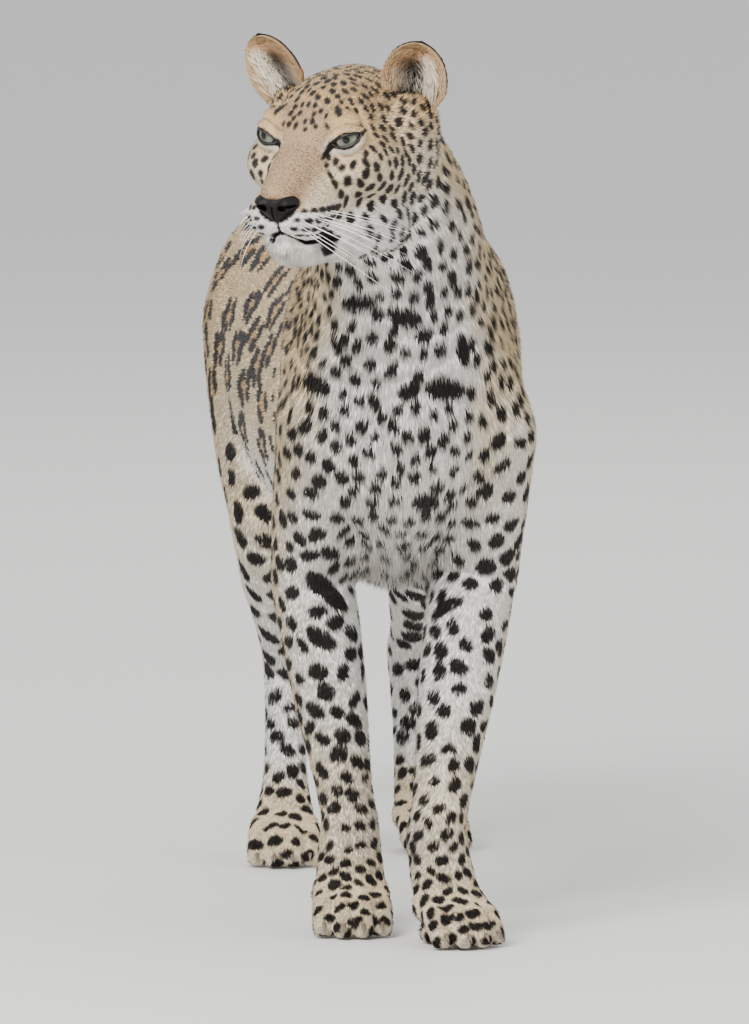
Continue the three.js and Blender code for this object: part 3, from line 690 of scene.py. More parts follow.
def vertices_of(piece: Object) -> Points:
    """An object's vertices in millimetres of the body's frame."""
    co = np.zeros(len(piece.data.vertices) * 3)
    piece.data.vertices.foreach_get("co", co)
    return co.reshape(-1, 3) * 1000 + BOX_MIDDLE


def normals_of(piece: Object) -> Points:
    """The way out at each vertex of an object."""
    n = np.zeros(len(piece.data.vertices) * 3)
    piece.data.vertices.foreach_get("normal", n)
    return n.reshape(-1, 3)


def baked(piece: Object, modifier: bpy.types.Modifier) -> Mesh:
    """A plain mesh of what the modifier makes of an object; the modifier is taken off."""
    bpy.context.view_layer.update()
    graph = bpy.context.evaluated_depsgraph_get()
    mesh = bpy.data.meshes.new_from_object(piece.evaluated_get(graph), depsgraph=graph)
    piece.modifiers.remove(modifier)
    return mesh


def store_colour(mesh: Mesh, colours: Points, name: str = "coat") -> None:
    """Keeps one linear colour for each vertex."""
    layer = mesh.color_attributes.new(name, "FLOAT_COLOR", "POINT")
    rgba = np.concatenate([colours, np.ones((len(colours), 1))], axis=1)
    layer.data.foreach_set("color", rgba.astype(np.float32).ravel())


def store_vectors(mesh: Mesh, name: str, values: Points) -> None:
    """Keeps one vector for each vertex."""
    layer = mesh.attributes.new(name, "FLOAT_VECTOR", "POINT")
    layer.data.foreach_set("vector", np.asarray(values, np.float32).ravel())


def linear(hex_colour: str) -> Points:
    """An sRGB hex value as a linear colour."""
    rgb = np.array([int(hex_colour[i : i + 2], 16) for i in (1, 3, 5)]) / 255
    return np.where(rgb <= 0.04045, rgb / 12.92, ((rgb + 0.055) / 1.055) ** 2.4)


@dataclass(frozen=True)
class CoatColours:
    """The colours of the coat, as single hairs show them."""

    tan: str = "#C8A573"
    deep_tan: str = "#AF8656"
    flank: str = "#D8C29C"
    rosette_heart: str = "#B9874E"
    white: str = "#F1EDE6"
    # A greyed white: the paws' pale, and, darker still, the painted shade on the chin
    shade_white: str = "#DDD5C8"
    spot: str = "#0F0B09"
    brown_spot: str = "#1E1510"
    bridge: str = "#AB8D6C"
    cheek: str = "#D6C2A2"
    lid_ring: str = "#E9DDCB"
    skin_dark: str = "#0E0A09"


@dataclass(frozen=True)
class Spot:
    """One oval blob of the pattern, or the tinted heart of a rosette."""

    at: Points
    normal: Points
    way: Points
    long: float
    wide: float
    dark: bool = True

    def across(self) -> Points:
        """The way across the spot, in the skin."""
        return np.cross(self.normal, self.way)


@dataclass
class Markings:
    """Where the coat's colours and spots lie, worked out from the body's own shape."""

    body: Body
    colours: CoatColours = CoatColours()
    seed: int = SEED
    flank_stretch: float = 1.9
    # a ring of blobs is drawn where spots are further apart than this and higher than this
    rosette_gap: float = 25.0
    rosette_from: float = 345.0
    # x, z, half length, half height, slant in degrees, on the front of the chest, throat and forelegs
    bars: tuple = (
        (-82, 463, 20, 9, 8),
        (-9, 461, 10, 8, -40),
        (22, 462, 19, 10, 4),
        (-50, 534, 17, 8, -8),
        (-13, 524, 16, 8, 20),
        (-66, 498, 11, 5.5, 60),
        (4, 508, 9, 7, -30),
        (37, 494, 15, 6.5, 80),
        (8, 366, 12, 10, 20),
        (-66, 284, 25, 8.5, 42),
        (30, 272, 19, 7.5, -32),
        (-72, 246, 15, 7.5, 35),
    )
    # height and first angle of each row of whisker spots, in the head's frame
    whisker_rows: tuple = ((-34, 32), (-41.5, 24), (-49, 20), (-56, 26))
    # left, forward, up, half width, half height, lean in degrees, on each side of the face
    face_marks: tuple = (
        (27, 70, 42, 3.4, 7.5, 8),
        (14, 60, 46, 2.6, 4.0, 0),
        (20, 78, 27, 1.8, 3.4, 30),
        (6, 66, 42, 2.0, 3.4, -10),
        (17, 119, -27, 1.9, 6.5, -52),
        (16, 104, -20, 1.7, 5.5, -60),
    )
    spots: list[Spot] = field(default_factory=list)

    def spacing(self, p: Points, w: Points) -> Points:
        """The distance that spots keep from one another."""
        legs = w[:, Part.FORELEG_LEFT.value] + w[:, Part.FORELEG_RIGHT.value]
        hind = w[:, Part.HINDLEG_LEFT.value] + w[:, Part.HINDLEG_RIGHT.value]
        y, z = p[:, 1], p[:, 2]
        trunk = 11.5 + 2 * fade(-10, 60, y) + 17.5 * fade(110, 190, y) * fade(330, 400, z)
        trunk += 1.5 * fade(-10, -40, y) + 6 * fade(380, 320, z) * fade(60, 140, y)
        fore = 16.5 - 5.5 * fade(200, 60, z)
        back = 21 + 9 * fade(370, 440, z) - 9 * fade(260, 60, z)
        q = self.body.head.to_local(p)
        head = 6.8 - 1.2 * fade(20, 70, -q[:, 1]) * fade(0, 20, q[:, 2])
        head += 2.4 * fade(0, -30, q[:, 2]) + fade(30, -40, q[:, 2]) * fade(20, 50, np.abs(q[:, 0]))
        head += 3 * fade(-10, -60, -q[:, 1])
        neck = 10.5 + 2 * fade(-30, -80, y)
        tail = 25
        total = w[:, 0] * trunk + w[:, 1] * neck + w[:, 2] * head + w[:, 3] * tail
        return total + legs * fore + hind * back

    def bare(self, p: Points) -> Points:
        """True where the face has no scattered spots: nose bridge, lids, muzzle and chin."""
        q = self.body.head.to_local(p)
        left, fwd, up = np.abs(q[:, 0]), -q[:, 1], q[:, 2]
        on_head = np.linalg.norm(q, axis=1) < 175
        bridge = (fwd > 58) & (left < 23) & (up > -40) & (up < 22)
        muzzle = (fwd > 90) & (up < 5)
        centre, _ = self.body.head.eye.axes()
        eye = np.linalg.norm(np.stack([left, -fwd, up], 1) - centre, axis=1) < 23
        low_jaw = (fwd > 62) & (up < -58)
        return on_head & (bridge | muzzle | eye | low_jaw)

    def place(self, p: Points, n: Points) -> None:
        """Scatters the spots over points of the skin, and leaves out those under the listed marks.

        Args:
            p: many points of the skin.
            n: the way out at each.
        """
        rng = np.random.default_rng(self.seed)
        w = self.body.weights(p)
        gap = self.spacing(p, w)
        chosen = self.choose(p, gap, rng)
        lie = self.body.lie(p[chosen], n[chosen], w[chosen])
        scattered = []
        for k, i in enumerate(chosen):
            scattered += self.spot(p[i], n[i], lie[k], gap[i], w[i], rng)
        self.spots = [*self.chest_bars(), *self.face_spots()]
        centres = np.array([spot.at for spot in scattered])
        covered = np.zeros(len(centres), bool)
        for spot in self.spots:
            rel = centres - spot.at
            along, side, depth = (np.abs(rel @ way) for way in (spot.way, spot.across(), spot.normal))
            covered |= (along < spot.long + 3) & (side < spot.wide + 3) & (depth < 20)
        self.spots += [spot for spot, hidden in zip(scattered, covered) if not hidden]
        LOG.info("markings: %d blobs from %d places", len(self.spots), len(chosen))

    def choose(self, p: Points, gap: Points, rng: Chance) -> Points:
        """Picks places at random that keep their gap, in a space where the flank is drawn together."""
        even = p.copy()
        even[:, 1] -= np.clip(p[:, 1] - 100, 0, 350) * (1 - 1 / self.flank_stretch)
        tree = KDTree(len(p))
        for i, co in enumerate(even):
            tree.insert(co, i)
        tree.balance()
        alive = ~self.bare(p)
        chosen = []
        for i in rng.permutation(len(p)):
            if not alive[i]:
                continue
            chosen.append(i)
            for _, j, _ in tree.find_range(even[i], gap[i]):
                alive[j] = False
        return np.array(chosen)

    def spot(self, p: Points, n: Points, lie: Points, gap: float, w: Points, rng: Chance) -> list[Spot]:
        """One solid spot, or a ring of blobs round a tinted heart where the gap is wide."""
        across = unit(np.cross(n, lie))
        if gap > self.rosette_gap and p[2] > self.rosette_from:
            return self.rosette(p, n, lie, across, gap, rng)
        legs = w[4:].sum()
        size = gap * rng.uniform(0.37, 0.52) * (1 + 0.04 * legs + 0.04 * w[2])
        shape = rng.uniform(1.0, 1.6)
        turn = rng.uniform(-0.9, 0.9) + (pi / 2 if legs > 0.5 else 0)
        if w[2] > 0.5:
            lie = unit(self.body.head.matrix[:, 2] - n * (n @ self.body.head.matrix[:, 2]) + 0.01 * lie)
            across, turn, shape = np.cross(n, lie), 0.6 * turn, shape + 0.15
        way = lie * math.cos(turn) + across * math.sin(turn)
        return [Spot(p, n, way, size * math.sqrt(shape), size / math.sqrt(shape))]

    def rosette(
        self, p: Points, n: Points, lie: Points, across: Points, gap: float, rng: Chance
    ) -> list[Spot]:
        """A broken ring of blobs round a tinted heart, drawn out along the flank."""
        pull = 1 + (self.flank_stretch - 1) * float(fade(80, 130, p[1]) * fade(490, 420, p[1]))
        count = int(rng.integers(3, 6))
        radius = gap * rng.uniform(0.31, 0.37)
        start = rng.uniform(0, 2 * pi)
        made = []
        for k in range(count):
            turn = start + 2 * pi * (k + rng.uniform(-0.12, 0.12)) / count
            way = lie * math.cos(turn) * pull + across * math.sin(turn)
            tangent = across * math.cos(turn) - lie * math.sin(turn) * pull
            half = gap * rng.uniform(0.15, 0.195) * (1 + (pull - 1) * abs(math.cos(turn)))
            stretch = radius * pi / count * rng.uniform(0.68, 0.95) * float(np.linalg.norm(tangent))
            made.append(Spot(p + way * radius, n, unit(tangent), max(stretch, half), half))
        made.append(Spot(p, n, lie, radius * 1.05 * pull, radius * 1.05, dark=False))
        return made

    def mark(
        self, start: Points, inwards: Points, upright: Points, turn: float, long: float, wide: float
    ) -> Spot:
        """A listed spot where a line from outside meets the skin, turned by so much from upright."""
        at = self.surface_point(start, inwards)
        n = self.body.normals(at)[0]
        up = unit(upright - n * (n @ upright))
        return Spot(at[0], n, up * math.cos(turn) + np.cross(n, up) * math.sin(turn), long, wide)

    def chest_bars(self) -> list[Spot]:
        """The necklace, throat and foreleg bars."""
        back = np.array([0.0, 1.0, 0.0])
        return [
            self.mark(np.array([[x, -250.0, z]]), back, UP, radians(90 - slant), long, high)
            for x, z, long, high, slant in self.bars
        ]

    def face_spots(self) -> list[Spot]:
        """The rows of whisker spots and the marks over the eyes and nose."""
        head = self.body.head
        made = []
        for side in (-1, 1):
            for row, first in self.whisker_rows:
                for k in range(6):
                    turn = radians(first + 12 * k)
                    heart = head.to_body([[0, -92, row - 1.2 * k]])
                    way = head.matrix @ np.array([side * math.sin(turn), -math.cos(turn), 0])
                    sizes = 4.0 + 0.6 * k, 2.4 + 0.3 * k
                    made.append(self.mark(heart + way * 90, -way, UP, pi / 2, *sizes))
            for left, fwd, up, wide, high, lean in self.face_marks:
                middle = np.array([side * left, -30, 0])
                way = unit(head.matrix @ (np.array([side * left, -fwd, up]) - middle))
                start = head.to_body([middle]) + way * 130
                made.append(self.mark(start, -way, head.matrix[:, 2], radians(lean * side), high, wide))
        return made

    def surface_point(self, start: Points, way: Points) -> Points:
        """Walks from outside along a line until the skin is met."""
        at = start.copy()
        for _ in range(60):
            d = self.body.skin(at)
            if d[0] < 0.05:
                break
            at = at + way * min(max(d[0] * 0.7, 0.05), 20)
        return at

    def base(self, p: Points, n: Points, w: Points) -> Points:
        """The colour of the coat between its spots."""
        c = {name: linear(getattr(self.colours, name)) for name in self.colours.__dataclass_fields__}
        wave = noise(p, 60, 3) * 0.5 + noise(p, 22, 4) * 0.3
        under = fade(0.1, 0.7, -n[:, 2] - 0.9 * n[:, 1] * (p[:, 2] > 200))
        tail = mixed(c["tan"], c["white"], under)
        trunk, neck, head = self.trunk_base(p, n, c, wave), self.neck_base(n, c, wave), self.head_base(p, c)
        fore, hind = self.leg_base(p, n, c, wave)
        total = w[:, 0:1] * trunk + w[:, 1:2] * neck + w[:, 2:3] * head + w[:, 3:4] * tail
        total += (w[:, 4:5] + w[:, 5:6]) * fore + (w[:, 6:7] + w[:, 7:8]) * hind
        return total

    def trunk_base(self, p: Points, n: Points, c: dict[str, Points], wave: Points) -> Points:
        """The trunk: white below and in front, tan above and darkest along the back."""
        x, y, z = p.T
        trunk = mixed(c["white"], c["flank"], fade(330, 430, z + 24 * wave + 40 * fade(80, 0, y)))
        trunk = mixed(trunk, c["tan"], fade(430, 540, z + 20 * wave) * (1 - 0.45 * fade(90, 160, y)))
        trunk = mixed(trunk, c["deep_tan"], 0.5 * fade(550, 580, z))
        front = fade(0.1, 0.75, -n[:, 1]) * fade(78, 48, np.abs(x + 18) + 10 * wave) * fade(30, -20, y)
        trunk = mixed(trunk, c["white"], front * fade(575, 520, z))
        under = fade(0.2, 0.8, -n[:, 2])
        return mixed(trunk, c["white"], under * fade(200, 120, y) + under * (y > 120))

    def neck_base(self, n: Points, c: dict[str, Points], wave: Points) -> Points:
        """The neck: white in front, tan above and behind."""
        behind = 0.6 * n[:, 2] + 0.9 * n[:, 1] + 0.35 * wave + 0.5
        neck = mixed(c["white"], c["flank"], fade(-0.35, 0.35, behind))
        return mixed(neck, c["tan"], fade(0.0, 0.8, n[:, 2] + 0.8 * n[:, 1]))

    def leg_base(self, p: Points, n: Points, c: dict[str, Points], wave: Points) -> tuple[Points, Points]:
        """The forelegs and the hind legs: white inside, and both pale at the paws."""
        x, z = p[:, 0], p[:, 2]
        inner = fade(0.1, 0.7, -np.sign(x + 10) * n[:, 0]) + 0.9 * fade(0.0, 0.7, -n[:, 1] + 0.2 * wave)
        fore = mixed(c["flank"], c["white"], inner)
        fore = mixed(fore, c["flank"], 0.6 * fade(210, 120, z))
        inner = fade(0.2, 0.7, -np.sign(x) * n[:, 0]) + fade(330, 200, z + 30 * wave)
        hind = mixed(c["flank"], c["white"], inner)
        hind = mixed(hind, c["tan"], fade(380, 460, z + 20 * wave))
        paw = mixed(c["shade_white"], c["flank"], 0.45 + 0.45 * fade(-0.2, 0.8, n[:, 2]))
        foot = fade(95, 50, z)
        return mixed(fore, paw, foot), mixed(hind, paw, foot)

    def head_base(self, p: Points, c: dict[str, Points]) -> Points:
        """The colour of the face and skull between their spots."""
        q = self.body.head.to_local(p)
        left, fwd, up = np.abs(q[:, 0]), -q[:, 1], q[:, 2]
        wave = noise(q, 18, 5)
        colour = mixed(c["white"], c["cheek"], fade(-62, -38, up + 6 * wave + 0.1 * (40 - fwd)))
        colour = mixed(colour, c["tan"], fade(-26, 26, up + 3 * wave))
        bridge = fade(29, 17, left + 2 * wave) * fade(52, 70, fwd) * fade(-42, -26, up)
        colour = mixed(colour, c["bridge"], bridge)
        muzzle = fade(84, 98, fwd) * fade(9, 17, left) * fade(-30, -42, up)
        colour = mixed(colour, c["white"], 0.85 * muzzle)
        colour = mixed(colour, c["white"], fade(-56, -64, up) * fade(-40, 20, fwd))
        # Painted shade: the chin's white is greyed in noisy patches, for the shading among its longer hair
        chin = fade(-58, -66, up) * fade(60, 85, fwd)
        colour = mixed(colour, c["shade_white"] * 0.75, chin * (0.35 + 0.9 * noise(q, 6, 72)))
        r, lean, angle = self.body.head.eye.polar(np.stack([left, -fwd, up], 1))
        away = (lean - self.body.head.eye.edge(angle)) * self.body.head.eye.radius
        shell = fade(30, 20, r)
        below = fade(0.2, -0.4, np.sin(angle))
        colour = mixed(colour, c["lid_ring"], shell * fade(9, 5, away) * (0.1 + 0.75 * below))
        return colour

    def dark_lines(self, p: Points) -> Points:
        """How dark the lids' rims, tear marks, lips, mouth corners and the skin round the nose pad are, from
        0 to 1; round the pad this is partly painted shade of the nostrils' insides.
        """
        q = self.body.head.to_local(p)
        q[:, 0] = np.abs(q[:, 0])
        fwd, up = -q[:, 1], q[:, 2]
        head, eye = self.body.head, self.body.head.eye
        r, lean, angle = eye.polar(q)
        away = (lean - eye.edge(angle)) * eye.radius
        rim = fade(3.3, 1.9, away) * fade(eye.radius + 3.2, eye.radius + 2.4, r)
        centre, axes = eye.axes()
        local = (q - centre) @ axes.T
        tear = fade(0.8, -0.8, stroke(local, (-12.5, -4.0), (-0.62, -0.78), 12, 3.6, 0.15)) * (r < 34)
        lash = fade(0.8, -0.8, stroke(local, (12.5, 4.0), (0.86, 0.5), 7, 2.2, 0.2)) * (r < 24)
        lines = np.maximum(tear, lash) * (local[:, 2] > 0)
        heart_y = q[:, 1] + head.mouth_heart
        turned = np.arctan2(q[:, 0], -heart_y)
        over = up - head.mouth_line(turned)
        near_front = (np.hypot(q[:, 0], heart_y) < 75) & (fwd > 40) & (turned < 1.35)
        lip = fade(2.6, 1.4, np.abs(over)) * near_front
        patch = np.hypot((turned - 0.92) * 34, 0.6 * (over + 5)) + 3 * noise(q, 7, 71)
        corner = fade(8.0, 5.0, patch) * near_front
        lower = fade(0.8, 1.0, turned) * fade(1.32, 1.1, turned) * near_front
        lower *= fade(8, 4, np.abs(over + 3) + 2.5 * noise(q, 6, 73))
        split = fade(1.7, 0.9, q[:, 0]) * (fwd > 110) * (up > -55) * (up < -38)
        # The skin round and under the nose pad is painted dark: partly the leather's own dark at its edge,
        # partly painted shade inside the nostrils, where this skin shows through
        pad = Nose(head)
        from_pad = (q - np.array([0, -pad.forward, pad.up])) / np.array(pad.half_sizes())
        leather = fade(1.12, 1.02, np.linalg.norm(from_pad, axis=1))
        total = rim + lines + lip + corner + 0.9 * lower + split + leather
        return np.clip(total, 0, 1) * (np.linalg.norm(q, axis=1) < 190)

    def colour(self, p: Points, n: Points, w: Points, crisp: float = 0.8) -> Points:
        """The coat's colour, spots and all.

        Args:
            p: points on the skin.
            n: the way out at each.
            w: how much each part counts there.
            crisp: half the width of a spot's edge, in millimetres.

        Returns:
            A linear colour for each point.
        """
        base = self.base(p, n, w)
        warp = np.stack([noise(p, 9, 11 + k) for k in range(3)], 1) * 1.6
        small = w[:, 2:3] * (self.body.head.to_local(p)[:, 1:2] < 0)
        warp = warp * (1 - 0.6 * small) + np.stack([noise(p, 3.5, 21 + k) for k in range(3)], 1) * 0.5
        moved = p + warp
        order = CellIndex(moved, 26.0)
        dark, heart = np.zeros(len(p)), np.zeros(len(p))
        for spot in self.spots:
            near = order.around(spot.at, max(spot.long, spot.wide) + 3)
            if not len(near):
                continue
            rel = moved[near] - spot.at
            deep = np.maximum(np.abs(rel @ spot.normal) - 12, 0)
            k = np.sqrt((rel @ spot.way / spot.long) ** 2 + (rel @ spot.across() / spot.wide) ** 2)
            edge = (k - 1) * min(spot.long, spot.wide) + deep
            if spot.dark:
                dark[near] = np.maximum(dark[near], fade(crisp, -crisp, edge))
            else:
                heart[near] = np.maximum(heart[near], fade(2.5, -2.5, edge))
        colour = mixed(base, linear(self.colours.rosette_heart), heart * 0.62)
        black = linear(self.colours.spot)
        black = mixed(black, linear(self.colours.brown_spot), 0.5 + 0.5 * noise(p, 14, 31))
        colour = mixed(colour, black, np.maximum(dark, self.tail_rings(p) * w[:, 3]))
        return mixed(colour, linear(self.colours.skin_dark), self.dark_lines(p))

    def tail_rings(self, p: Points) -> Points:
        """The dark bands near the tail's end, above its white under side."""
        rows = self.body.tail.rows[:, :3]
        near = np.argmin(((p[:, None, :] - rows[None]) ** 2).sum(2), axis=1)
        step = np.linalg.norm(np.diff(rows, axis=0), axis=1)
        along = np.concatenate([[0], np.cumsum(step)])
        rel = dot(p - rows[near], self.body.tail.run[np.minimum(near, len(step) - 1)])
        s = along[-1] - (along[near] + rel)
        band = fade(0.1, 0.35, np.sin(s / 48 * 2 * pi + 0.9 * noise(p, 20, 41))) * (s < 215) * (s > 12)
        return np.clip(band, 0, 1)


def stroke(
    q: Points, start: tuple[float, float], way: tuple[float, float], long: float, wide: float, taper: float
) -> Points:
    """Distance, seen flat, from a stroke of this length and half width, which thins along its way."""
    rel = q[:, :2] - np.array(start)
    along = np.clip(rel @ np.array(way), 0, long)
    return np.linalg.norm(rel - along[:, None] * np.array(way), axis=1) - (wide - taper * along)


class CellIndex:
    """Points sorted into cubic cells, so that those near a place are quickly found."""

    def __init__(self, p: Points, size: float) -> None:
        """Sorts the points into cells of this size."""
        self.size = size
        self.p = p
        cells = np.floor(p / size).astype(np.int64)
        self.low = cells.min(0) if len(p) else np.zeros(3, np.int64)
        self.span = (cells.max(0) - self.low + 1) if len(p) else np.ones(3, np.int64)
        key = self.key(cells - self.low)
        self.order = np.argsort(key, kind="stable")
        self.sorted = key[self.order]

    def key(self, cell: Points) -> Points:
        """One number for each cell."""
        return (cell[..., 0] * self.span[1] + cell[..., 1]) * self.span[2] + cell[..., 2]

    def around(self, at: Points, reach: float) -> Points:
        """The numbers of the points within about this reach."""
        first = np.maximum(np.floor((at - reach) / self.size).astype(np.int64) - self.low, 0)
        last = np.minimum(np.floor((at + reach) / self.size).astype(np.int64) - self.low, self.span - 1)
        if np.any(last < first):
            return np.zeros(0, np.int64)
        found = []
        for i in range(first[0], last[0] + 1):
            for j in range(first[1], last[1] + 1):
                start = np.searchsorted(self.sorted, self.key(np.array([i, j, first[2]])))
                stop = np.searchsorted(self.sorted, self.key(np.array([i, j, last[2]])), "right")
                found.append(self.order[start:stop])
        near = np.concatenate(found)
        return near[np.all(np.abs(self.p[near] - at) < reach, axis=1)]


def add_node(tree: NodeTree, kind: str, settings: dict | None = None, links: dict | None = None):
    """Adds a node.

    Args:
        tree: the tree it goes in.
        kind: its type's name.
        settings: properties by name, and values of input sockets by name or number.
        links: for an input socket by name or number, the output socket that feeds it.

    Returns:
        The new node.
    """
    node = tree.nodes.new(kind)
    for key, value in (settings or {}).items():
        if isinstance(key, str) and hasattr(node, key) and key not in node.inputs:
            setattr(node, key, value)
        else:
            node.inputs[key].default_value = value
    for key, source in (links or {}).items():
        tree.links.new(source, node.inputs[key])
    return node


def scaled(tree: NodeTree, vector: NodeSocket, factor: NodeSocket):
    """The output of a node that scales a colour or vector."""
    links = {0: vector, "Scale": factor}
    return add_node(tree, "ShaderNodeVectorMath", {"operation": "SCALE"}, links).outputs[0]


def new_tree(name: str, inputs: Sequence[tuple[str, str]], result: str) -> NodeTree:
    """Starts a Geometry Nodes tree with named inputs and one geometry as its result."""
    tree = bpy.data.node_groups.new(name, "GeometryNodeTree")
    for label, kind in inputs:
        tree.interface.new_socket(label, in_out="INPUT", socket_type=f"NodeSocket{kind}")
    tree.interface.new_socket(result, in_out="OUTPUT", socket_type="NodeSocketGeometry")
    return tree


def run_tree(tree: NodeTree, source: Object, inputs: dict) -> Mesh:
    """Runs a tree on an object, takes the object away and returns what it made as a plain mesh."""
    sockets = {item.name: item.identifier for item in tree.interface.items_tree if item.in_out == "INPUT"}
    modifier = source.modifiers.new("tree", "NODES")
    modifier.node_group = tree
    for name, value in inputs.items():
        modifier[sockets[name]] = value
    mesh = baked(source, modifier)
    bpy.data.objects.remove(source)
    return mesh


@dataclass(frozen=True)
class Finish:
    """A real surface: its name, colour, and how it takes light."""

    name: str
    colour: str = "#808080"
    roughness: float = 0.6
    coat: float = 0.0
    specular: float = 0.5
    sheen: float = 0.0
    attribute: str = ""
    grain_mm: float = 0.0
    bump_mm: float = 0.0
    tip_attribute: str = ""
    tip_light: float = 0.0

    def material(self) -> Material:
        """Builds the finish from nodes."""
        made = bpy.data.materials.new(self.name)
        made.use_nodes = True
        tree = made.node_tree
        tree.nodes.clear()
        constants = {
            "Roughness": self.roughness,
            "Coat Weight": self.coat,
            "Coat Roughness": 0.06,
            "Specular IOR Level": self.specular,
            "Sheen Weight": self.sheen,
            "Sheen Roughness": 0.5,
        }
        shader = add_node(tree, "ShaderNodeBsdfPrincipled", constants)
        add_node(tree, "ShaderNodeOutputMaterial", {}, {"Surface": shader.outputs[0]})
        tone = self.tone(tree)
        if self.tip_attribute:
            tone = self.tipped(tree, tone)
        if self.grain_mm:
            tone = self.grained(tree, tone, shader)
        tree.links.new(tone, shader.inputs["Base Color"])
        return made

    def tone(self, tree: NodeTree) -> NodeSocket:
        """The plain colour, or the one kept on the piece."""
        if self.attribute:
            return add_node(tree, "ShaderNodeAttribute", {"attribute_name": self.attribute}).outputs["Color"]
        plain = add_node(tree, "ShaderNodeRGB").outputs[0]
        plain.default_value = (*linear(self.colour), 1)
        return plain

    def tipped(self, tree: NodeTree, tone: NodeSocket) -> NodeSocket:
        """A tuft's colour along its length: its own from the root, then its tip's, a little lighter."""
        along = add_node(tree, "ShaderNodeAttribute", {"attribute_name": "along"}).outputs["Fac"]
        tip = add_node(tree, "ShaderNodeAttribute", {"attribute_name": self.tip_attribute}).outputs["Color"]
        limits = {"From Min": 0.45, "From Max": 0.85}
        share = add_node(tree, "ShaderNodeMapRange", limits, {"Value": along}).outputs[0]
        links = {"Factor": share, 6: tone, 7: tip}
        tone = add_node(tree, "ShaderNodeMix", {"data_type": "RGBA"}, links).outputs[2]
        limits = {"To Min": 1 - self.tip_light, "To Max": 1 + self.tip_light}
        return scaled(tree, tone, add_node(tree, "ShaderNodeMapRange", limits, {"Value": along}).outputs[0])

    def grained(self, tree: NodeTree, tone: NodeSocket, shader: bpy.types.Node) -> NodeSocket:
        """A fine grain in the colour, and in the surface if the finish has a bump."""
        place = add_node(tree, "ShaderNodeTexCoord").outputs["Object"]
        size = {"Scale": 1000 / self.grain_mm, "Detail": 3.0, "Roughness": 0.6}
        grain = add_node(tree, "ShaderNodeTexNoise", size, {"Vector": place}).outputs["Fac"]
        if self.bump_mm:
            strength = {"Distance": self.bump_mm / 1000, "Strength": 0.8}
            bump = add_node(tree, "ShaderNodeBump", strength, {"Height": grain})
            tree.links.new(bump.outputs[0], shader.inputs["Normal"])
        limits = {"To Min": 0.86, "To Max": 1.12}
        return scaled(tree, tone, add_node(tree, "ShaderNodeMapRange", limits, {"Value": grain}).outputs[0])


# Short guard hairs: dull, with a soft sheen where light grazes them
FUR = Finish(
    "leopard guard hair", roughness=0.7, specular=0.22, sheen=0.05, attribute="coat",
    tip_attribute="coat_tip", tip_light=0.12,
)
# The skin under the coat, coloured as the roots are and rough with hair
SKIN = Finish("haired hide", roughness=0.8, specular=0.2, attribute="coat", grain_mm=1.6, bump_mm=0.5)
# Bare moist skin of the lids' rims: near black, with a soft shine
LID_SKIN = Finish("moist lid skin", "#14100F", roughness=0.35, specular=0.5, grain_mm=0.8, bump_mm=0.1)
# Nose leather: dark brown, fine-pebbled and slightly moist
NOSE_LEATHER = Finish("nose leather", "#0B0807", roughness=0.5, specular=0.2, grain_mm=0.9, bump_mm=0.35)
# The eye under its tear film: a hard clear gloss over the iris
EYEBALL = Finish("eye under tear film", roughness=0.3, coat=0.6, specular=0.05, attribute="iris")
# Whisker: a stiff white hair that shines along its length
WHISKER = Finish("whisker bristle", "#F2EEE6", roughness=0.4, specular=0.5)
# Claw horn: one grey-brown over the whole claw, with a fine grain in its colour
CLAW_HORN = Finish("claw horn", "#6B5C4C", roughness=0.35, specular=0.5, grain_mm=1.5)
# Studio floor: plain, matt and pale
FLOOR = Finish("matt pale floor", "#D9D7D2", roughness=0.9, specular=0.2)


@dataclass
class Roots:
    """Where tufts grow, how they lie and stand, their sizes in metres, sheet places and colours."""

    p: Points
    lie: Points
    out: Points
    size: Points
    root_uv: Points
    colour: Points
    tip_colour: Points


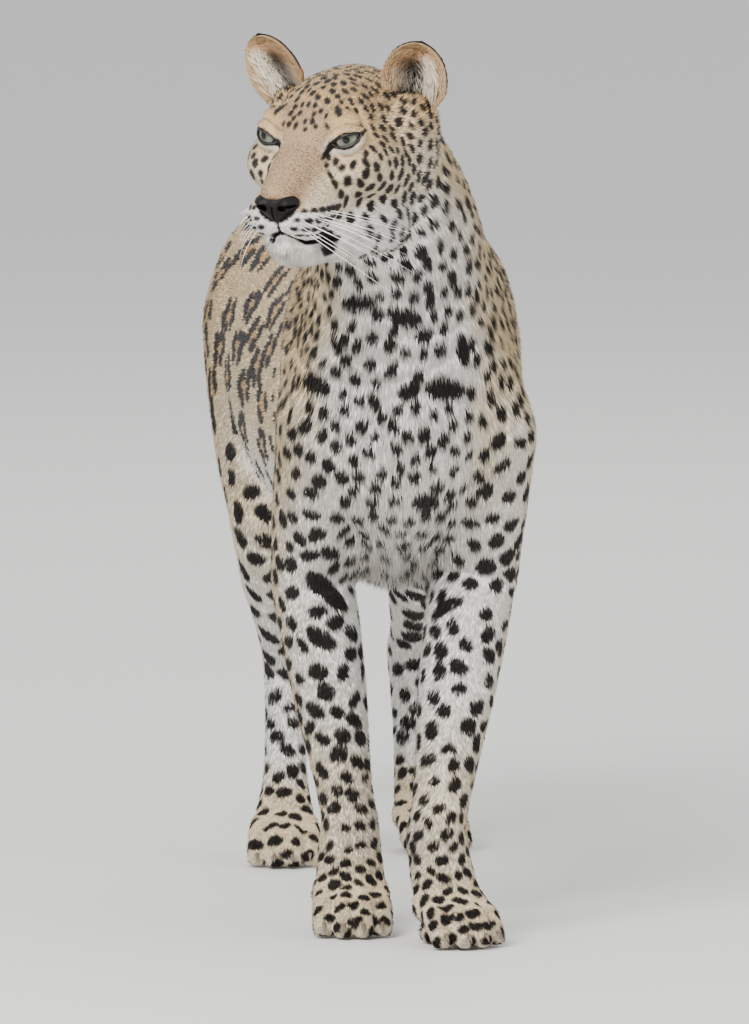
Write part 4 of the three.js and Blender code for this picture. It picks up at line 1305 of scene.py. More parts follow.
class TuftTree:
    """A Geometry Nodes tree that sets a tuft on each root, lying the way the coat does."""

    vectors = ("lie", "out", "size", "root_uv")
    # how large the tip of a tuft is on its sheet, where the tuft's own patch is one unit wide
    patch_size = 0.003

    def __init__(self, tuft: Object) -> None:
        """Builds the tree round one tuft's mesh."""
        sockets = (("Roots", "Geometry"), ("Size", "Float"), ("Patch", "Float"), ("Finish", "Material"))
        self.group = tree = new_tree("set tufts on roots", sockets, "Coat")
        source = add_node(tree, "NodeGroupInput")
        turn = add_node(
            tree, "FunctionNodeAxesToRotation", {"primary_axis": "Y", "secondary_axis": "Z"},
            {"Primary Axis": self.vector("lie"), "Secondary Axis": self.vector("out")},
        )
        shape = add_node(tree, "GeometryNodeObjectInfo", {"Object": tuft})
        points = add_node(tree, "GeometryNodeMeshToPoints", {}, {"Mesh": source.outputs["Roots"]})
        links = {
            "Points": points.outputs[0],
            "Instance": shape.outputs["Geometry"],
            "Rotation": turn.outputs[0],
            "Scale": scaled(tree, self.vector("size"), source.outputs["Size"]),
        }
        placed = add_node(tree, "GeometryNodeInstanceOnPoints", {}, links)
        solid = add_node(tree, "GeometryNodeRealizeInstances", {}, {"Geometry": placed.outputs[0]})
        patch = scaled(tree, self.vector("patch"), source.outputs["Patch"])
        links = {0: self.vector("root_uv"), 1: patch}
        spread = add_node(tree, "ShaderNodeVectorMath", {"operation": "ADD"}, links)
        sheet = {"data_type": "FLOAT2", "domain": "CORNER", "Name": "OFBake"}
        links = {"Geometry": solid.outputs[0], "Value": spread.outputs[0]}
        last = add_node(tree, "GeometryNodeStoreNamedAttribute", sheet, links).outputs[0]
        for name in (*self.vectors, "patch"):
            kept = add_node(tree, "GeometryNodeRemoveAttribute", {"Name": name}, {"Geometry": last})
            last = kept.outputs[0]
        links = {"Geometry": last, "Material": source.outputs["Finish"]}
        dressed = add_node(tree, "GeometryNodeSetMaterial", {}, links)
        add_node(tree, "NodeGroupOutput", {}, {"Coat": dressed.outputs[0]})

    def vector(self, name: str) -> NodeSocket:
        """The output of a node that reads a named vector."""
        settings = {"data_type": "FLOAT_VECTOR", "Name": name}
        return add_node(self.group, "GeometryNodeInputNamedAttribute", settings).outputs[0]

    def grow(self, name: str, roots: Roots, finish: Material) -> Object:
        """Grows the tufts of one piece of the coat and turns them into a plain mesh."""
        points = make_mesh(f"{name}_roots", roots.p, [])
        for key in self.vectors:
            store_vectors(points.data, key, getattr(roots, key))
        store_colour(points.data, roots.colour)
        store_colour(points.data, roots.tip_colour, "coat_tip")
        mesh = run_tree(self.group, points, {"Size": 1.0, "Patch": self.patch_size, "Finish": finish})
        mesh.name = name
        smooth(mesh)
        return show(name, mesh)


@dataclass
class CoatPiece:
    """One piece of the coat: the part that it covers, how many tufts it has and where it starts and ends."""

    name: str
    part: Part
    tufts: int
    from_y: float = -math.inf
    to_y: float = math.inf


@dataclass
class Coat:
    """The coat: solid tufts over the skin, short on the face and feet and longer on chest and belly."""

    body: Body
    markings: Markings
    pieces: tuple[CoatPiece, ...] = (
        CoatPiece("coat_head", Part.HEAD, 49000),
        CoatPiece("coat_neck", Part.NECK, 37000),
        CoatPiece("coat_trunk_front", Part.TRUNK, 46000, to_y=250.0),
        CoatPiece("coat_trunk_rear", Part.TRUNK, 46000, from_y=250.0),
        CoatPiece("coat_foreleg_left", Part.FORELEG_LEFT, 36000),
        CoatPiece("coat_foreleg_right", Part.FORELEG_RIGHT, 36000),
        CoatPiece("coat_hindleg_left", Part.HINDLEG_LEFT, 32000),
        CoatPiece("coat_hindleg_right", Part.HINDLEG_RIGHT, 34000),
        CoatPiece("coat_tail", Part.TAIL, 20000),
    )

    def length(self, p: Points, n: Points, w: Points) -> Points:
        """The tufts' length, in millimetres."""
        q = self.body.head.to_local(p)
        head = 6.0 - 2.2 * fade(20, 90, -q[:, 1]) + 7 * fade(10, -60, -q[:, 1])
        head += 5 * fade(-40, -66, q[:, 2]) * fade(115, 60, -q[:, 1])
        head += 5 * fade(-62, -72, q[:, 2]) * fade(70, 95, -q[:, 1])
        belly = fade(0.2, 0.9, -n[:, 2])
        chest = fade(40, -30, p[:, 1]) * fade(275, 330, p[:, 2])
        trunk = 10.5 + 7 * belly + 5.5 * chest + 12 * self.fringe(p)
        neck = 11 + 4.5 * fade(0, 0.8, -n[:, 1])
        leg = 8.5 - 2.5 * fade(110, 40, p[:, 2]) + 2.5 * fade(0.2, 0.8, n[:, 1])
        total = w[:, 0] * trunk + w[:, 1] * neck + w[:, 2] * head + w[:, 3] * 13
        return total + w[:, 4:].sum(1) * leg

    def fringe(self, p: Points) -> Points:
        """Where the chest's hair hangs, between the forelegs: 1 there and 0 elsewhere."""
        return fade(345, 305, p[:, 2]) * fade(130, 70, p[:, 1]) * fade(85, 55, np.abs(p[:, 0]))

    def width(self, p: Points, w: Points) -> Points:
        """The tufts' half width, in millimetres."""
        q = self.body.head.to_local(p)
        face = w[:, 2] * fade(-20, 70, -q[:, 1])
        hidden = w[:, 0] * fade(60, 200, p[:, 1])
        return 1.0 - 0.3 * face - 0.15 * w[:, 4:].sum(1) + 0.3 * hidden

    def unwrap(self, piece: CoatPiece, p: Points) -> Points:
        """Places on a flat sheet: round the part and along it, from the skin's own shape."""
        part = piece.part
        if part is Part.HEAD:
            q = self.body.head.to_local(p)
            v = unit(q + np.array([0, 30, 12]))
            round_share = np.arctan2(v[:, 0], v[:, 2]) / (2 * pi) + 0.5
            return np.stack([round_share, np.arccos(-v[:, 1]) / pi, 0 * round_share], 1)
        limb = {Part.TRUNK: self.body.trunk, Part.NECK: self.body.neck, Part.TAIL: self.body.tail}.get(part)
        limb = limb or self.body.legs[part].limb
        rows = limb.rows[:, :3]
        near = np.minimum(np.argmin(((p[:, None, :] - rows[None]) ** 2).sum(2), axis=1), len(limb.run) - 1)
        rel = p - rows[near]
        lengths = np.concatenate([[0], np.cumsum(limb.length)])
        along = lengths[near] + dot(rel, limb.run[near])
        a = dot(rel, limb.across[near])
        b = dot(rel, limb.deep[near])
        spread = (along - along.min()) / max(np.ptp(along), 1)
        round_share = np.arctan2(a, b) / (2 * pi) + 0.5
        return np.stack([round_share, spread, 0 * a], 1)

    def tuft(self) -> Object:
        """One tuft one unit long: a slim closed spike with three sides and a foot, that points along +Y."""
        mesh = bpy.data.meshes.new("tuft")
        corners = [(-1, 0, 0), (1, 0, 0), (0, 0.1, 0.9), (0, 1, 0)]
        mesh.from_pydata(corners, [], [(0, 1, 2), (3, 1, 0), (3, 2, 1), (3, 0, 2)])
        store_vectors(mesh, "patch", [(-0.4, -0.4, 0), (0.4, -0.4, 0), (0, 0, 0), (0, 0.45, 0)])
        layer = mesh.attributes.new("along", "FLOAT", "POINT")
        layer.data.foreach_set("value", [0.0, 0.0, 0.1, 1.0])
        return bpy.data.objects.new("tuft", mesh)

    def dress(self, skin: Object, share: float) -> list[Object]:
        """Grows the whole coat.

        Args:
            skin: the skin's object.
            share: how much of each piece's number of tufts to grow.

        Returns:
            The coat's pieces.
        """
        points, normals = vertices_of(skin), normals_of(skin)
        skin.data.calc_loop_triangles()
        tris = np.zeros(len(skin.data.loop_triangles) * 3, np.int64)
        skin.data.loop_triangles.foreach_get("vertices", tris)
        tris = tris.reshape(-1, 3)
        a, b, c = (points[tris[:, k]] for k in range(3))
        cross = np.cross(b - a, c - a)
        area = np.linalg.norm(cross, axis=1) / 2
        middle = (a + b + c) / 3
        flat = unit(cross)
        part_of = np.argmax(in_threads(self.body.weights, middle), axis=1)
        haired = ~self.inside_lids(middle)
        rng = np.random.default_rng(SEED + 1)
        tuft = self.tuft()
        tree = TuftTree(tuft)
        finish = FUR.material()
        made = []
        for piece in self.pieces:
            mine = (part_of == piece.part.value) & haired
            mine &= (middle[:, 1] >= piece.from_y) & (middle[:, 1] < piece.to_y)
            density = area[mine] * self.density(middle[mine], flat[mine])
            count = int(piece.tufts * share)
            picked = rng.choice(np.flatnonzero(mine), count, p=density / density.sum())
            u, v = rng.random(count), rng.random(count)
            fold = u + v > 1
            u[fold], v[fold] = 1 - u[fold], 1 - v[fold]
            t = np.stack([1 - u - v, u, v], 1)[:, :, None]
            p = (points[tris[picked]] * t).sum(1)
            n = unit((normals[tris[picked]] * t).sum(1))
            made.append(self.piece(piece, p, n, tree, finish, rng))
        bpy.data.objects.remove(tuft)
        return made

    def inside_lids(self, p: Points) -> Points:
        """True where a tuft would grow on a lid's rim or inside the mouth line."""
        return self.markings.dark_lines(p) > 0.6

    def density(self, p: Points, n: Points) -> Points:
        """How closely the tufts stand."""
        q = self.body.head.to_local(p)
        face = fade(0, 80, -q[:, 1]) * (np.linalg.norm(q, axis=1) < 190)
        sole = fade(-0.5, -0.9, n[:, 2]) * (p[:, 2] < 12)
        low = fade(120, 40, p[:, 2])
        return (1 + 1.6 * face + 0.7 * low) * (1 - 0.95 * sole)

    def piece(
        self, piece: CoatPiece, p: Points, n: Points, tree: TuftTree, finish: Material,
        rng: Chance,
    ) -> Object:
        """Grows one piece of the coat from its roots."""
        w = in_threads(self.body.weights, p)
        lie = self.body.lie(p, n, w)
        count = len(p)
        across = np.cross(n, lie)
        swing = rng.normal(0, 0.14, count) + 0.2 * noise(p, 28, 51)
        lie = unit(lie + across * swing[:, None])
        lift = np.radians(rng.uniform(6, 15, count) + 22 * self.fringe(p) * w[:, 0])
        low = fade(14, 5, p[:, 2])
        lift = lift * (1 - low) + 0.03 * low
        along = lie * np.cos(lift)[:, None] + n * np.sin(lift)[:, None]
        out = n * np.cos(lift)[:, None] - lie * np.sin(lift)[:, None]
        long = self.length(p, n, w) * rng.uniform(0.75, 1.2, count)
        wide = self.width(p, w) * rng.uniform(0.7, 1.25, count)
        long = np.where(p[:, 2] + long * along[:, 2] < 1.0, np.minimum(long, 5), long)
        tone = 1 + rng.normal(0, 0.07, (count, 1)) + 0.06 * noise(p, 40, 52)[:, None]
        tone = np.clip(tone, 0.7, 1.3)
        low_colour, tip_colour = (
            self.markings.colour(p + lie * (share * long)[:, None], n, w, 0.5) * tone
            for share in (0.45, 0.86)
        )
        size = np.stack([wide, long, wide * 0.6], 1) / 1000
        roots = Roots(p - n * 0.5, along, out, size, self.unwrap(piece, p), low_colour, tip_colour)
        made = tree.grow(piece.name, roots, finish)
        LOG.info("%s: %d tufts, %d triangles", piece.name, count, len(made.data.polygons))
        return made


@dataclass
class Hide:
    """The one skin under the coat, from nose to tail."""

    body: Body
    markings: Markings
    step: float = 2.2
    most_triangles: int = 188000

    def build(self) -> Object:
        """Meshes the body's field and thins it away from the face."""
        mesher = Mesher(self.body.skin, (-170, -232, -6), (124, 984, 742), self.step)
        points, quads = mesher.build()
        skin = make_mesh("skin", points, quads)
        triangles = 2 * len(skin.data.polygons)
        if triangles > self.most_triangles:
            self.thin(skin, self.most_triangles / triangles)
        LOG.info("skin: meshed at %d triangles, kept to %d", triangles, self.most_triangles)
        return skin

    def thin(self, skin: Object, ratio: float) -> None:
        """Takes triangles away, fewest on the face and feet."""
        p = vertices_of(skin)
        q = self.body.head.to_local(p)
        face = fade(-50, 10, -q[:, 1]) * (np.linalg.norm(q, axis=1) < HEAD_REACH)
        feet = fade(80, 50, p[:, 2]) * (p[:, 1] < 620)
        group = skin.vertex_groups.new(name="thin")
        weight = 1 - np.clip(face + 0.5 * feet, 0, 1)
        for level in range(1, 11):
            members = np.flatnonzero(np.round(weight * 10) == level)
            group.add(members.tolist(), level / 10, "REPLACE")
        modifier = skin.modifiers.new("thin", "DECIMATE")
        modifier.ratio = ratio
        modifier.vertex_group = "thin"
        modifier.vertex_group_factor = 3.0
        mesh = baked(skin, modifier)
        skin.vertex_groups.clear()
        skin.data = mesh
        smooth(mesh)

    def colour(self, skin: Object) -> None:
        """Gives every vertex of the skin its place in the markings."""
        p, n = vertices_of(skin), normals_of(skin)
        w = in_threads(self.body.weights, p)
        store_colour(skin.data, self.markings.colour(p, n, w, 1.2) * 0.86)
        skin.data.materials.clear()
        skin.data.materials.append(SKIN.material())

    def scatter(self, skin: Object, count: int = 90000) -> tuple[Points, Points]:
        """Points of the skin that spots may take, thicker on the head, and the way out at each."""
        p, n = vertices_of(skin), normals_of(skin)
        rng = np.random.default_rng(SEED + 3)
        picked = rng.permutation(len(p))[:count]
        return p[picked], n[picked]


def ring_faces(rings: int, sides: int, first: int = 0, closed: bool = False) -> list:
    """Four-sided faces between rings of points numbered from first; closed joins the last to the first."""
    number = first + np.arange(rings * sides).reshape(rings, sides)
    if closed:
        number = np.concatenate([number, number[:1]])
    after = np.roll(number, -1, axis=1)
    return np.stack([number[:-1], after[:-1], after[1:], number[1:]], axis=-1).reshape(-1, 4).tolist()


def lathe(rows: Sequence[Points]) -> tuple[Points, list]:
    """Points and faces of a tube through rings of equal length, its ends closed by a point each."""
    sides = len(rows[0])
    points = np.concatenate([rows[0].mean(0, keepdims=True), *rows, rows[-1].mean(0, keepdims=True)])
    last = len(points) - 1
    faces = ring_faces(len(rows), sides, 1)
    for s in range(sides):
        after = (s + 1) % sides
        faces.append((0, 1 + after, 1 + s))
        faces.append((last, last - sides + s, last - sides + after))
    return points, faces


def outward(piece: Object) -> Object:
    """Turns a closed mesh's faces outwards."""
    bm = bmesh.new()
    bm.from_mesh(piece.data)
    bmesh.ops.recalc_face_normals(bm, faces=bm.faces)
    bm.to_mesh(piece.data)
    bm.free()
    return piece


def tube(path: Points, radii: Sequence[float], sides: int, up: Points) -> tuple[Points, list]:
    """A round tube along a path."""
    path = np.asarray(path, float)
    way = unit(np.gradient(path, axis=0))
    side = unit(np.cross(way, up))
    high = np.cross(side, way)
    angle = np.arange(sides) * 2 * pi / sides
    rows = [
        path[i] + radii[i] * (np.cos(angle)[:, None] * side[i] + np.sin(angle)[:, None] * high[i])
        for i in range(len(path))
    ]
    return lathe(rows)


@dataclass
class EyeSet:
    """Both eyeballs and the dark rims of their lids."""

    head: Head
    iris_radius: float = 9.6
    pupil_radius: float = 2.8
    iris_inner: str = "#56584B"
    iris_outer: str = "#7C7D70"
    # The iris's dark rim; also painted over the iris's top as the upper lid's shadow
    iris_rim_and_lid_shadow: str = "#1C1E18"
    pupil: str = "#050505"
    white: str = "#3A2E27"

    def build(self) -> list[Object]:
        """Makes an eyeball and a rim on each side."""
        finish, rim = EYEBALL.material(), LID_SKIN.material()
        made = []
        for word, side in (("left", 1), ("right", -1)):
            ball = self.ball(word, side, finish)
            lids = self.rim(word, side, rim)
            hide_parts(f"eye_{word}")
            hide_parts(f"eyelids_{word}")
            made += [ball, lids]
        return made

    def on_ball(self, side: int, angle: Points, lean: Points, radius: Points) -> Points:
        """Points over an eyeball, in the body's frame."""
        centre, axes = self.head.eye.axes()
        out = np.cos(angle)[..., None] * axes[0] + np.sin(angle)[..., None] * axes[1]
        radius = np.asarray(radius, float) * np.ones_like(lean)
        q = centre + (radius * np.cos(lean))[..., None] * axes[2] + (radius * np.sin(lean))[..., None] * out
        q = q * np.array([side, 1, 1])
        return self.head.to_body(q.reshape(-1, 3)).reshape(q.shape)

    def ball(self, word: str, side: int, finish: Material) -> Object:
        """One eyeball, with a slight cornea, coloured ring by ring."""
        eye = self.head.eye
        leans = np.radians(np.concatenate([np.linspace(1, 44, 52), np.linspace(47, 178, 24)]))
        sides = 112
        angle = np.arange(sides) * 2 * pi / sides
        radii = eye.radius - 0.1 + 0.55 * fade(radians(40), radians(10), leans)
        rows = [self.on_ball(side, angle, np.full(sides, lean), radius) for lean, radius in zip(leans, radii)]
        ball = outward(make_mesh(f"eyeball_{word}", *lathe(rows)))
        lean = np.concatenate([[0], np.repeat(leans, sides), [pi]])
        turn = np.concatenate([[0], np.tile(angle, len(leans)), [0]])
        store_colour(ball.data, self.iris(lean, turn), "iris")
        ball.data.materials.append(finish)
        return ball

    def iris(self, lean: Points, turn: Points) -> Points:
        """The eyeball's colour, by the lean from the pupil's line and the turn round it, with a painted
        shadow of the upper lid over the iris's top half.
        """
        radius = self.head.eye.radius
        across = np.maximum(np.sin(lean), 0) * radius
        across[-1] = 0
        ring = np.stack([np.cos(turn) * 7, np.sin(turn) * 7, across * 0.5], 1)
        streak = noise(ring, 0.55, 61) * 0.25 + noise(ring, 1.6, 62) * 0.2
        rim = linear(self.iris_rim_and_lid_shadow)
        colour = mixed(linear(self.iris_inner), linear(self.iris_outer), fade(3, 7, across) + streak)
        colour = mixed(colour, rim, fade(self.iris_radius - 2.4, self.iris_radius - 0.3, across))
        # Painted shadow of the upper lid: the upper half of the iris is darkened towards the rim's colour
        colour = mixed(colour, rim, 0.7 * fade(0.0, 3.4, np.sin(turn) * np.sin(lean) * radius))
        colour = mixed(colour, linear(self.white), fade(self.iris_radius, self.iris_radius + 0.8, across))
        colour = mixed(colour, linear(self.pupil), fade(self.pupil_radius + 0.3, self.pupil_radius, across))
        colour[lean > 1.6] = linear(self.white)
        return colour

    def rim(self, word: str, side: int, finish: Material) -> Object:
        """The bare dark rim round one eye's opening, thickest at the inner corner."""
        eye = self.head.eye
        places, sides = 96, 10
        angle = np.arange(places) * 2 * pi / places
        edge = eye.edge(angle)
        inner = fade(-0.75, -1.0, np.cos(angle - radians(eye.slant_deg)))
        sections = []
        for turn in np.arange(sides) * 2 * pi / sides:
            past = (0.25 + (1.0 + 0.5 * inner) * math.cos(turn)) / eye.radius
            high = 1.05 + 1.15 * math.sin(turn)
            sections.append(self.on_ball(side, angle, edge + past, eye.radius + high))
        points = np.stack(sections, axis=1).reshape(-1, 3)
        made = outward(make_mesh(f"lid_rim_{word}", points, ring_faces(places, sides, closed=True)))
        made.data.materials.append(finish)
        return made


@dataclass
class Nose:
    """The bare nose pad: wide above, narrow below, with comma-shaped nostrils and a split."""

    head: Head
    forward: float = 131.0
    up: float = -31.5
    half_width: float = 17.0
    half_length: float = 11.0
    half_height: float = 13.0
    nostril_out: float = 8.5

    def half_sizes(self) -> tuple[float, float, float]:
        """Half the pad's width, length and height."""
        return self.half_width, self.half_length, self.half_height

    def distance(self, q: Points) -> Points:
        """Distance from the pad, in the head's frame."""
        x, y, z = np.abs(q[:, 0]), q[:, 1] + self.forward, q[:, 2] - self.up
        taper = np.clip(1 + 0.62 * z / self.half_height, 0.3, 1.25)
        pad = oval(x / taper, y, z, *self.half_sizes())
        wing = oval(x - 11.5, y + 2, z - 3.5, 6.5, 10, 5.5)
        pad = smooth_min(pad, wing, 4)
        hole = oval(x - self.nostril_out, y + 10, z - 0.6, 3.6, 9, 2.7)
        slit = oval(x - self.nostril_out - 5.5, y + 6, z - 2.4, 5.0, 9, 1.3)
        pad = smooth_max(pad, -smooth_min(hole, slit, 1.5), 1.2)
        split = np.hypot(x / 0.7, (pad + 0.1) / 1.6) - 1
        return smooth_max(pad, -np.where(z < 2, split, 5.0), 0.6)

    def build(self) -> Object:
        """Meshes the pad finely."""
        mesher = Mesher(self.distance, (-24, -147, -49), (24, -116, -13), 0.55)
        points, quads = mesher.build()
        nose = make_mesh("nose_pad", self.head.to_body(points), quads)
        nose.data.materials.append(NOSE_LEATHER.material())
        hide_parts("nose")
        return nose


@dataclass
class Whiskers:
    """Long bristles from each side of the muzzle, made by a tree that sweeps a curve for each."""

    body: Body
    markings: Markings
    per_side: int = 14
    longest: float = 105.0
    least_x: float = -158.0

    def paths(self) -> list[tuple[Points, float]]:
        """Each whisker's curve and its root's radius."""
        head = self.body.head
        rng = np.random.default_rng(SEED + 9)
        made = []
        for side in (1, -1):
            for k in range(self.per_side):
                row, place = divmod(k, 4)
                turn = radians(30 + 13 * place + rng.uniform(-3, 3))
                up = -36 - 5.5 * row - 1.2 * place
                heart = head.to_body([[0, -92, up]])
                way = head.matrix @ np.array([side * math.sin(turn), -math.cos(turn), 0])
                root = self.markings.surface_point(heart + way * 90, -way)[0]
                long = self.longest * rng.uniform(0.5, 1.0) * (1 if side > 0 else 0.62)
                spread = 0.85 if side > 0 else 0.22
                swept = head.matrix @ np.array([side * spread, 0.55 - 0.3 * place / 3, -0.12 - 0.16 * row])
                start = unit(way * 0.9 + swept * (0.6 if side > 0 else 1.4))
                t = np.linspace(0, 1, 12)[:, None]
                bend = unit(swept + np.array([0, 0, -0.25]))
                path = root + long * (start * t * (1 - 0.35 * t) + bend * 0.42 * t * t)
                room = (root[0] - self.least_x) / max(root[0] - path[:, 0].min(), 1)
                path = root + (path - root) * min(1, room)
                made.append((path - start * 2, rng.uniform(0.22, 0.32)))
        return made

    def lines(self) -> Object:
        """All the whiskers' curves as one mesh of edges, with each point's thickness."""
        paths = self.paths()
        points = np.concatenate([path for path, _ in paths])
        count = len(paths[0][0])
        edges = [(i * count + k, i * count + k + 1) for i in range(len(paths)) for k in range(count - 1)]
        mesh = bpy.data.meshes.new("whisker_lines")
        mesh.from_pydata(metres(points).tolist(), edges, [])
        layer = mesh.attributes.new("thick", "FLOAT", "POINT")
        t = np.linspace(0, 1, count)
        thick = np.concatenate([radius * (1 - t**2 * 0.8) for _, radius in paths]) / 1000
        layer.data.foreach_set("value", thick)
        return show("whisker_lines", mesh)

    def sweep(self) -> NodeTree:
        """A tree that sweeps a round section along each line."""
        sockets = (("Lines", "Geometry"), ("Sides", "Int"), ("Finish", "Material"))
        tree = new_tree("sweep whiskers", sockets, "Bristles")
        source = add_node(tree, "NodeGroupInput")
        curve = add_node(tree, "GeometryNodeMeshToCurve", {}, {"Mesh": source.outputs["Lines"]})
        thick = add_node(tree, "GeometryNodeInputNamedAttribute", {"data_type": "FLOAT", "Name": "thick"})
        links = {"Resolution": source.outputs["Sides"]}
        section = add_node(tree, "GeometryNodeCurvePrimitiveCircle", {"Radius": 1.0}, links)
        links = {"Curve": curve.outputs[0], "Profile Curve": section.outputs[0], "Scale": thick.outputs[0]}
        swept = add_node(tree, "GeometryNodeCurveToMesh", {"Fill Caps": True}, links)
        solid = add_node(tree, "GeometryNodeRealizeInstances", {}, {"Geometry": swept.outputs[0]})
        links = {"Geometry": solid.outputs[0], "Material": source.outputs["Finish"]}
        dressed = add_node(tree, "GeometryNodeSetMaterial", {}, links)
        add_node(tree, "NodeGroupOutput", {}, {"Bristles": dressed.outputs[0]})
        return tree

    def build(self) -> Object:
        """Sweeps all the whiskers at once and returns one plain mesh."""
        mesh = run_tree(self.sweep(), self.lines(), {"Sides": 5, "Finish": WHISKER.material()})
        return outward(show("whiskers", mesh))


@dataclass
class Ears:
    """Both ears: cupped shells, haired inside, black behind with a pale spot."""

    head: Head
    left: float = 57.0
    forward: float = -5.0
    up: float = 25.0
    height: float = 59.0
    half_width: float = 28.0
    cup_depth: float = 17.0
    thickness: float = 3.6
    round_from: float = 0.3
    face_out_deg: float = 14.0
    lean_out_deg: float = 19.0
    lean_back_deg: float = -3.0
    foot_share: float = 0.74
    inside: str = "#A98560"
    # Painted shade deep in the ear's cup
    cup_painted_shade: str = "#241A16"
    edge_hair: str = "#E8DCC6"
    rim: str = "#B3936D"
    back_black: str = "#15110F"
    back_spot: str = "#E9DCC4"
    back_root: str = "#B98F5C"

    def axes(self, side: int) -> tuple[Points, Points, Points, Points]:
        """Returns the foot, and the ways across, up and out of the cup, in the head's frame."""
        out, back = radians(self.lean_out_deg), radians(self.lean_back_deg)
        up = unit([side * math.sin(out), math.sin(back), 1])
        turn = radians(self.face_out_deg)
        face = np.array([side * math.sin(turn), -math.cos(turn), 0])
        face = unit(face - up * (face @ up))
        return np.array([side * self.left, -self.forward, self.up]), np.cross(up, face), up, face

    def point(self, side: int, u: Points, v: Points, thick: Points) -> Points:
        """Points of the shell: u across from -1 to 1, v up from 0 to 1."""
        foot, across, up, face = self.axes(side)
        u, v, thick = np.broadcast_arrays(np.asarray(u, float), v, thick)
        round_part = np.maximum(0, v - self.round_from) / (1 - self.round_from)
        arch = np.sqrt(np.maximum(0, 1 - round_part**2.2))
        wide = self.foot_share + (1 - self.foot_share) * np.minimum(1, v / self.round_from)
        wide = self.half_width * wide * arch
        back = self.cup_depth * (1 - 0.55 * v) * (1 - u * u) * arch - 5 * v * v
        lift = thick * (1 - 0.3 * u * u) - back
        q = foot + (v * self.height)[..., None] * up + (u * wide)[..., None] * across + lift[..., None] * face
        return self.head.to_body(q.reshape(-1, 3)).reshape(q.shape)

    def colours(self, u: Points, v: Points, front: bool) -> Points:
        """The colour of the ear at places on its front or back."""
        u, v = np.asarray(u, float), np.asarray(v, float)
        if front:
            # Painted shade: the inside darkens towards the middle and foot of the cup, where its hollow is
            # deepest
            deep = fade(0.9, 0.4, np.abs(u)) * fade(0.72, 0.42, v)
            colour = mixed(linear(self.inside), linear(self.cup_painted_shade), deep)
            edge = np.maximum(fade(0.72, 0.95, np.abs(u)), fade(0.82, 0.95, v))
            return mixed(colour, linear(self.rim), edge)
        spot = fade(1.1, 0.85, np.hypot(u / 0.45, (v - 0.62) / 0.17))
        colour = mixed(linear(self.back_root), linear(self.back_black), fade(0.3, 0.42, v))
        return mixed(colour, linear(self.back_spot), spot)

    def build(self, coat: Coat, share: float) -> list[Object]:
        """Makes both ears, with their tufts."""
        made = []
        finish = SKIN.material()
        tuft = coat.tuft()
        tree = TuftTree(tuft)
        fur = FUR.material()
        for word, side in (("left", 1), ("right", -1)):
            shell = self.shell(word, side, finish)
            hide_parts(f"ear_{word}")
            made += [shell, self.hair(word, side, tree, fur, share)]
        bpy.data.objects.remove(tuft)
        return made

    def shell(self, word: str, side: int, finish: Material) -> Object:
        """One ear's shell."""
        across = np.linspace(-1, 1, 33)
        heights = np.sin(np.linspace(0, pi / 2, 40)) * 0.995
        half = self.thickness / 2
        rows, colours = [], []
        for v in heights:
            level = np.full(len(across), v)
            faces = self.point(side, across, v, half), self.point(side, -across, v, -half)
            rows.append(np.concatenate(faces))
            front, back = self.colours(across, level, True), self.colours(-across, level, False)
            colours.append(np.concatenate([front, back]))
        ear = outward(make_mesh(f"ear_shell_{word}", *lathe(rows)))
        tones = np.concatenate([colours[0][:1], *colours, colours[-1][:1]])
        store_colour(ear.data, tones * 0.8)
        ear.data.materials.append(finish)
        return ear

    def hair(self, word: str, side: int, tree: TuftTree, fur: Material, share: float) -> Object:
        """Tufts over the back and rim, and longer pale hair inside from the edges."""
        rng = np.random.default_rng(SEED + 20 + side)
        inside = self.face_hair(side, True, int(4600 * share), rng)
        back = self.face_hair(side, False, int(7200 * share), rng)
        joined = [np.concatenate(both) for both in zip(inside, back)]
        return tree.grow(f"ear_hair_{word}", Roots(*joined, joined[-1]), fur)

    def face_hair(self, side: int, front: bool, count: int, rng: Chance) -> tuple[Points, ...]:
        """The hair of one ear's inside, or of its back: what Roots holds, up to the colours."""
        v = rng.uniform(0.02, 0.985, count) ** 0.9
        u = rng.uniform(-1, 1, count)
        if front:
            edge = rng.random(count) < 0.75
            u = np.where(edge, np.sign(u) * rng.uniform(0.45, 1.0, count), u)
        p, n, du, dv = self.patch(side, u, v, front)
        rim = np.maximum(fade(0.78, 0.92, np.abs(u)), fade(0.8, 0.9, v))
        if front:
            inward = -np.sign(u)[:, None] * du * (0.55 * fade(0.3, 0.9, np.abs(u)) * (1 - rim))[:, None]
            sway = rng.normal(0, 0.25, (count, 1)) * du
            lie = unit(dv * 0.8 + inward + sway + n * (0.4 - 0.2 * rim)[:, None])
            long = rng.uniform(8, 17, count) * (1 - rim) * fade(1.0, 0.5, v) + 4.5
        else:
            lie = unit(dv + rng.normal(0, 0.15, (count, 1)) * du + n * 0.16)
            long = rng.uniform(4, 6.0, count)
        long = np.where(v > 0.8, np.minimum(long, 4.0), long)
        out = unit(n - lie * dot(n, lie)[:, None])
        wide = rng.uniform(0.4, 0.7, count)
        size = np.stack([wide, long, wide * 0.6], 1) / 1000
        sheet = np.stack([u * 0.24 + (0.25 if front else 0.75), v, 0 * v], 1)
        tone = self.colours(u, v, front)
        if front:
            low = fade(-0.1, 0.5, u * side) * fade(0.85, 0.5, v) + 0.25 * fade(0.45, 0.2, v)
            pale = 0.85 * np.minimum(low, 1) * (1 - rim) * (rng.random(count) < 0.7)
            tone = mixed(tone, linear(self.edge_hair), pale)
        return p, lie, out, size, sheet, tone * rng.uniform(0.85, 1.12, (count, 1))

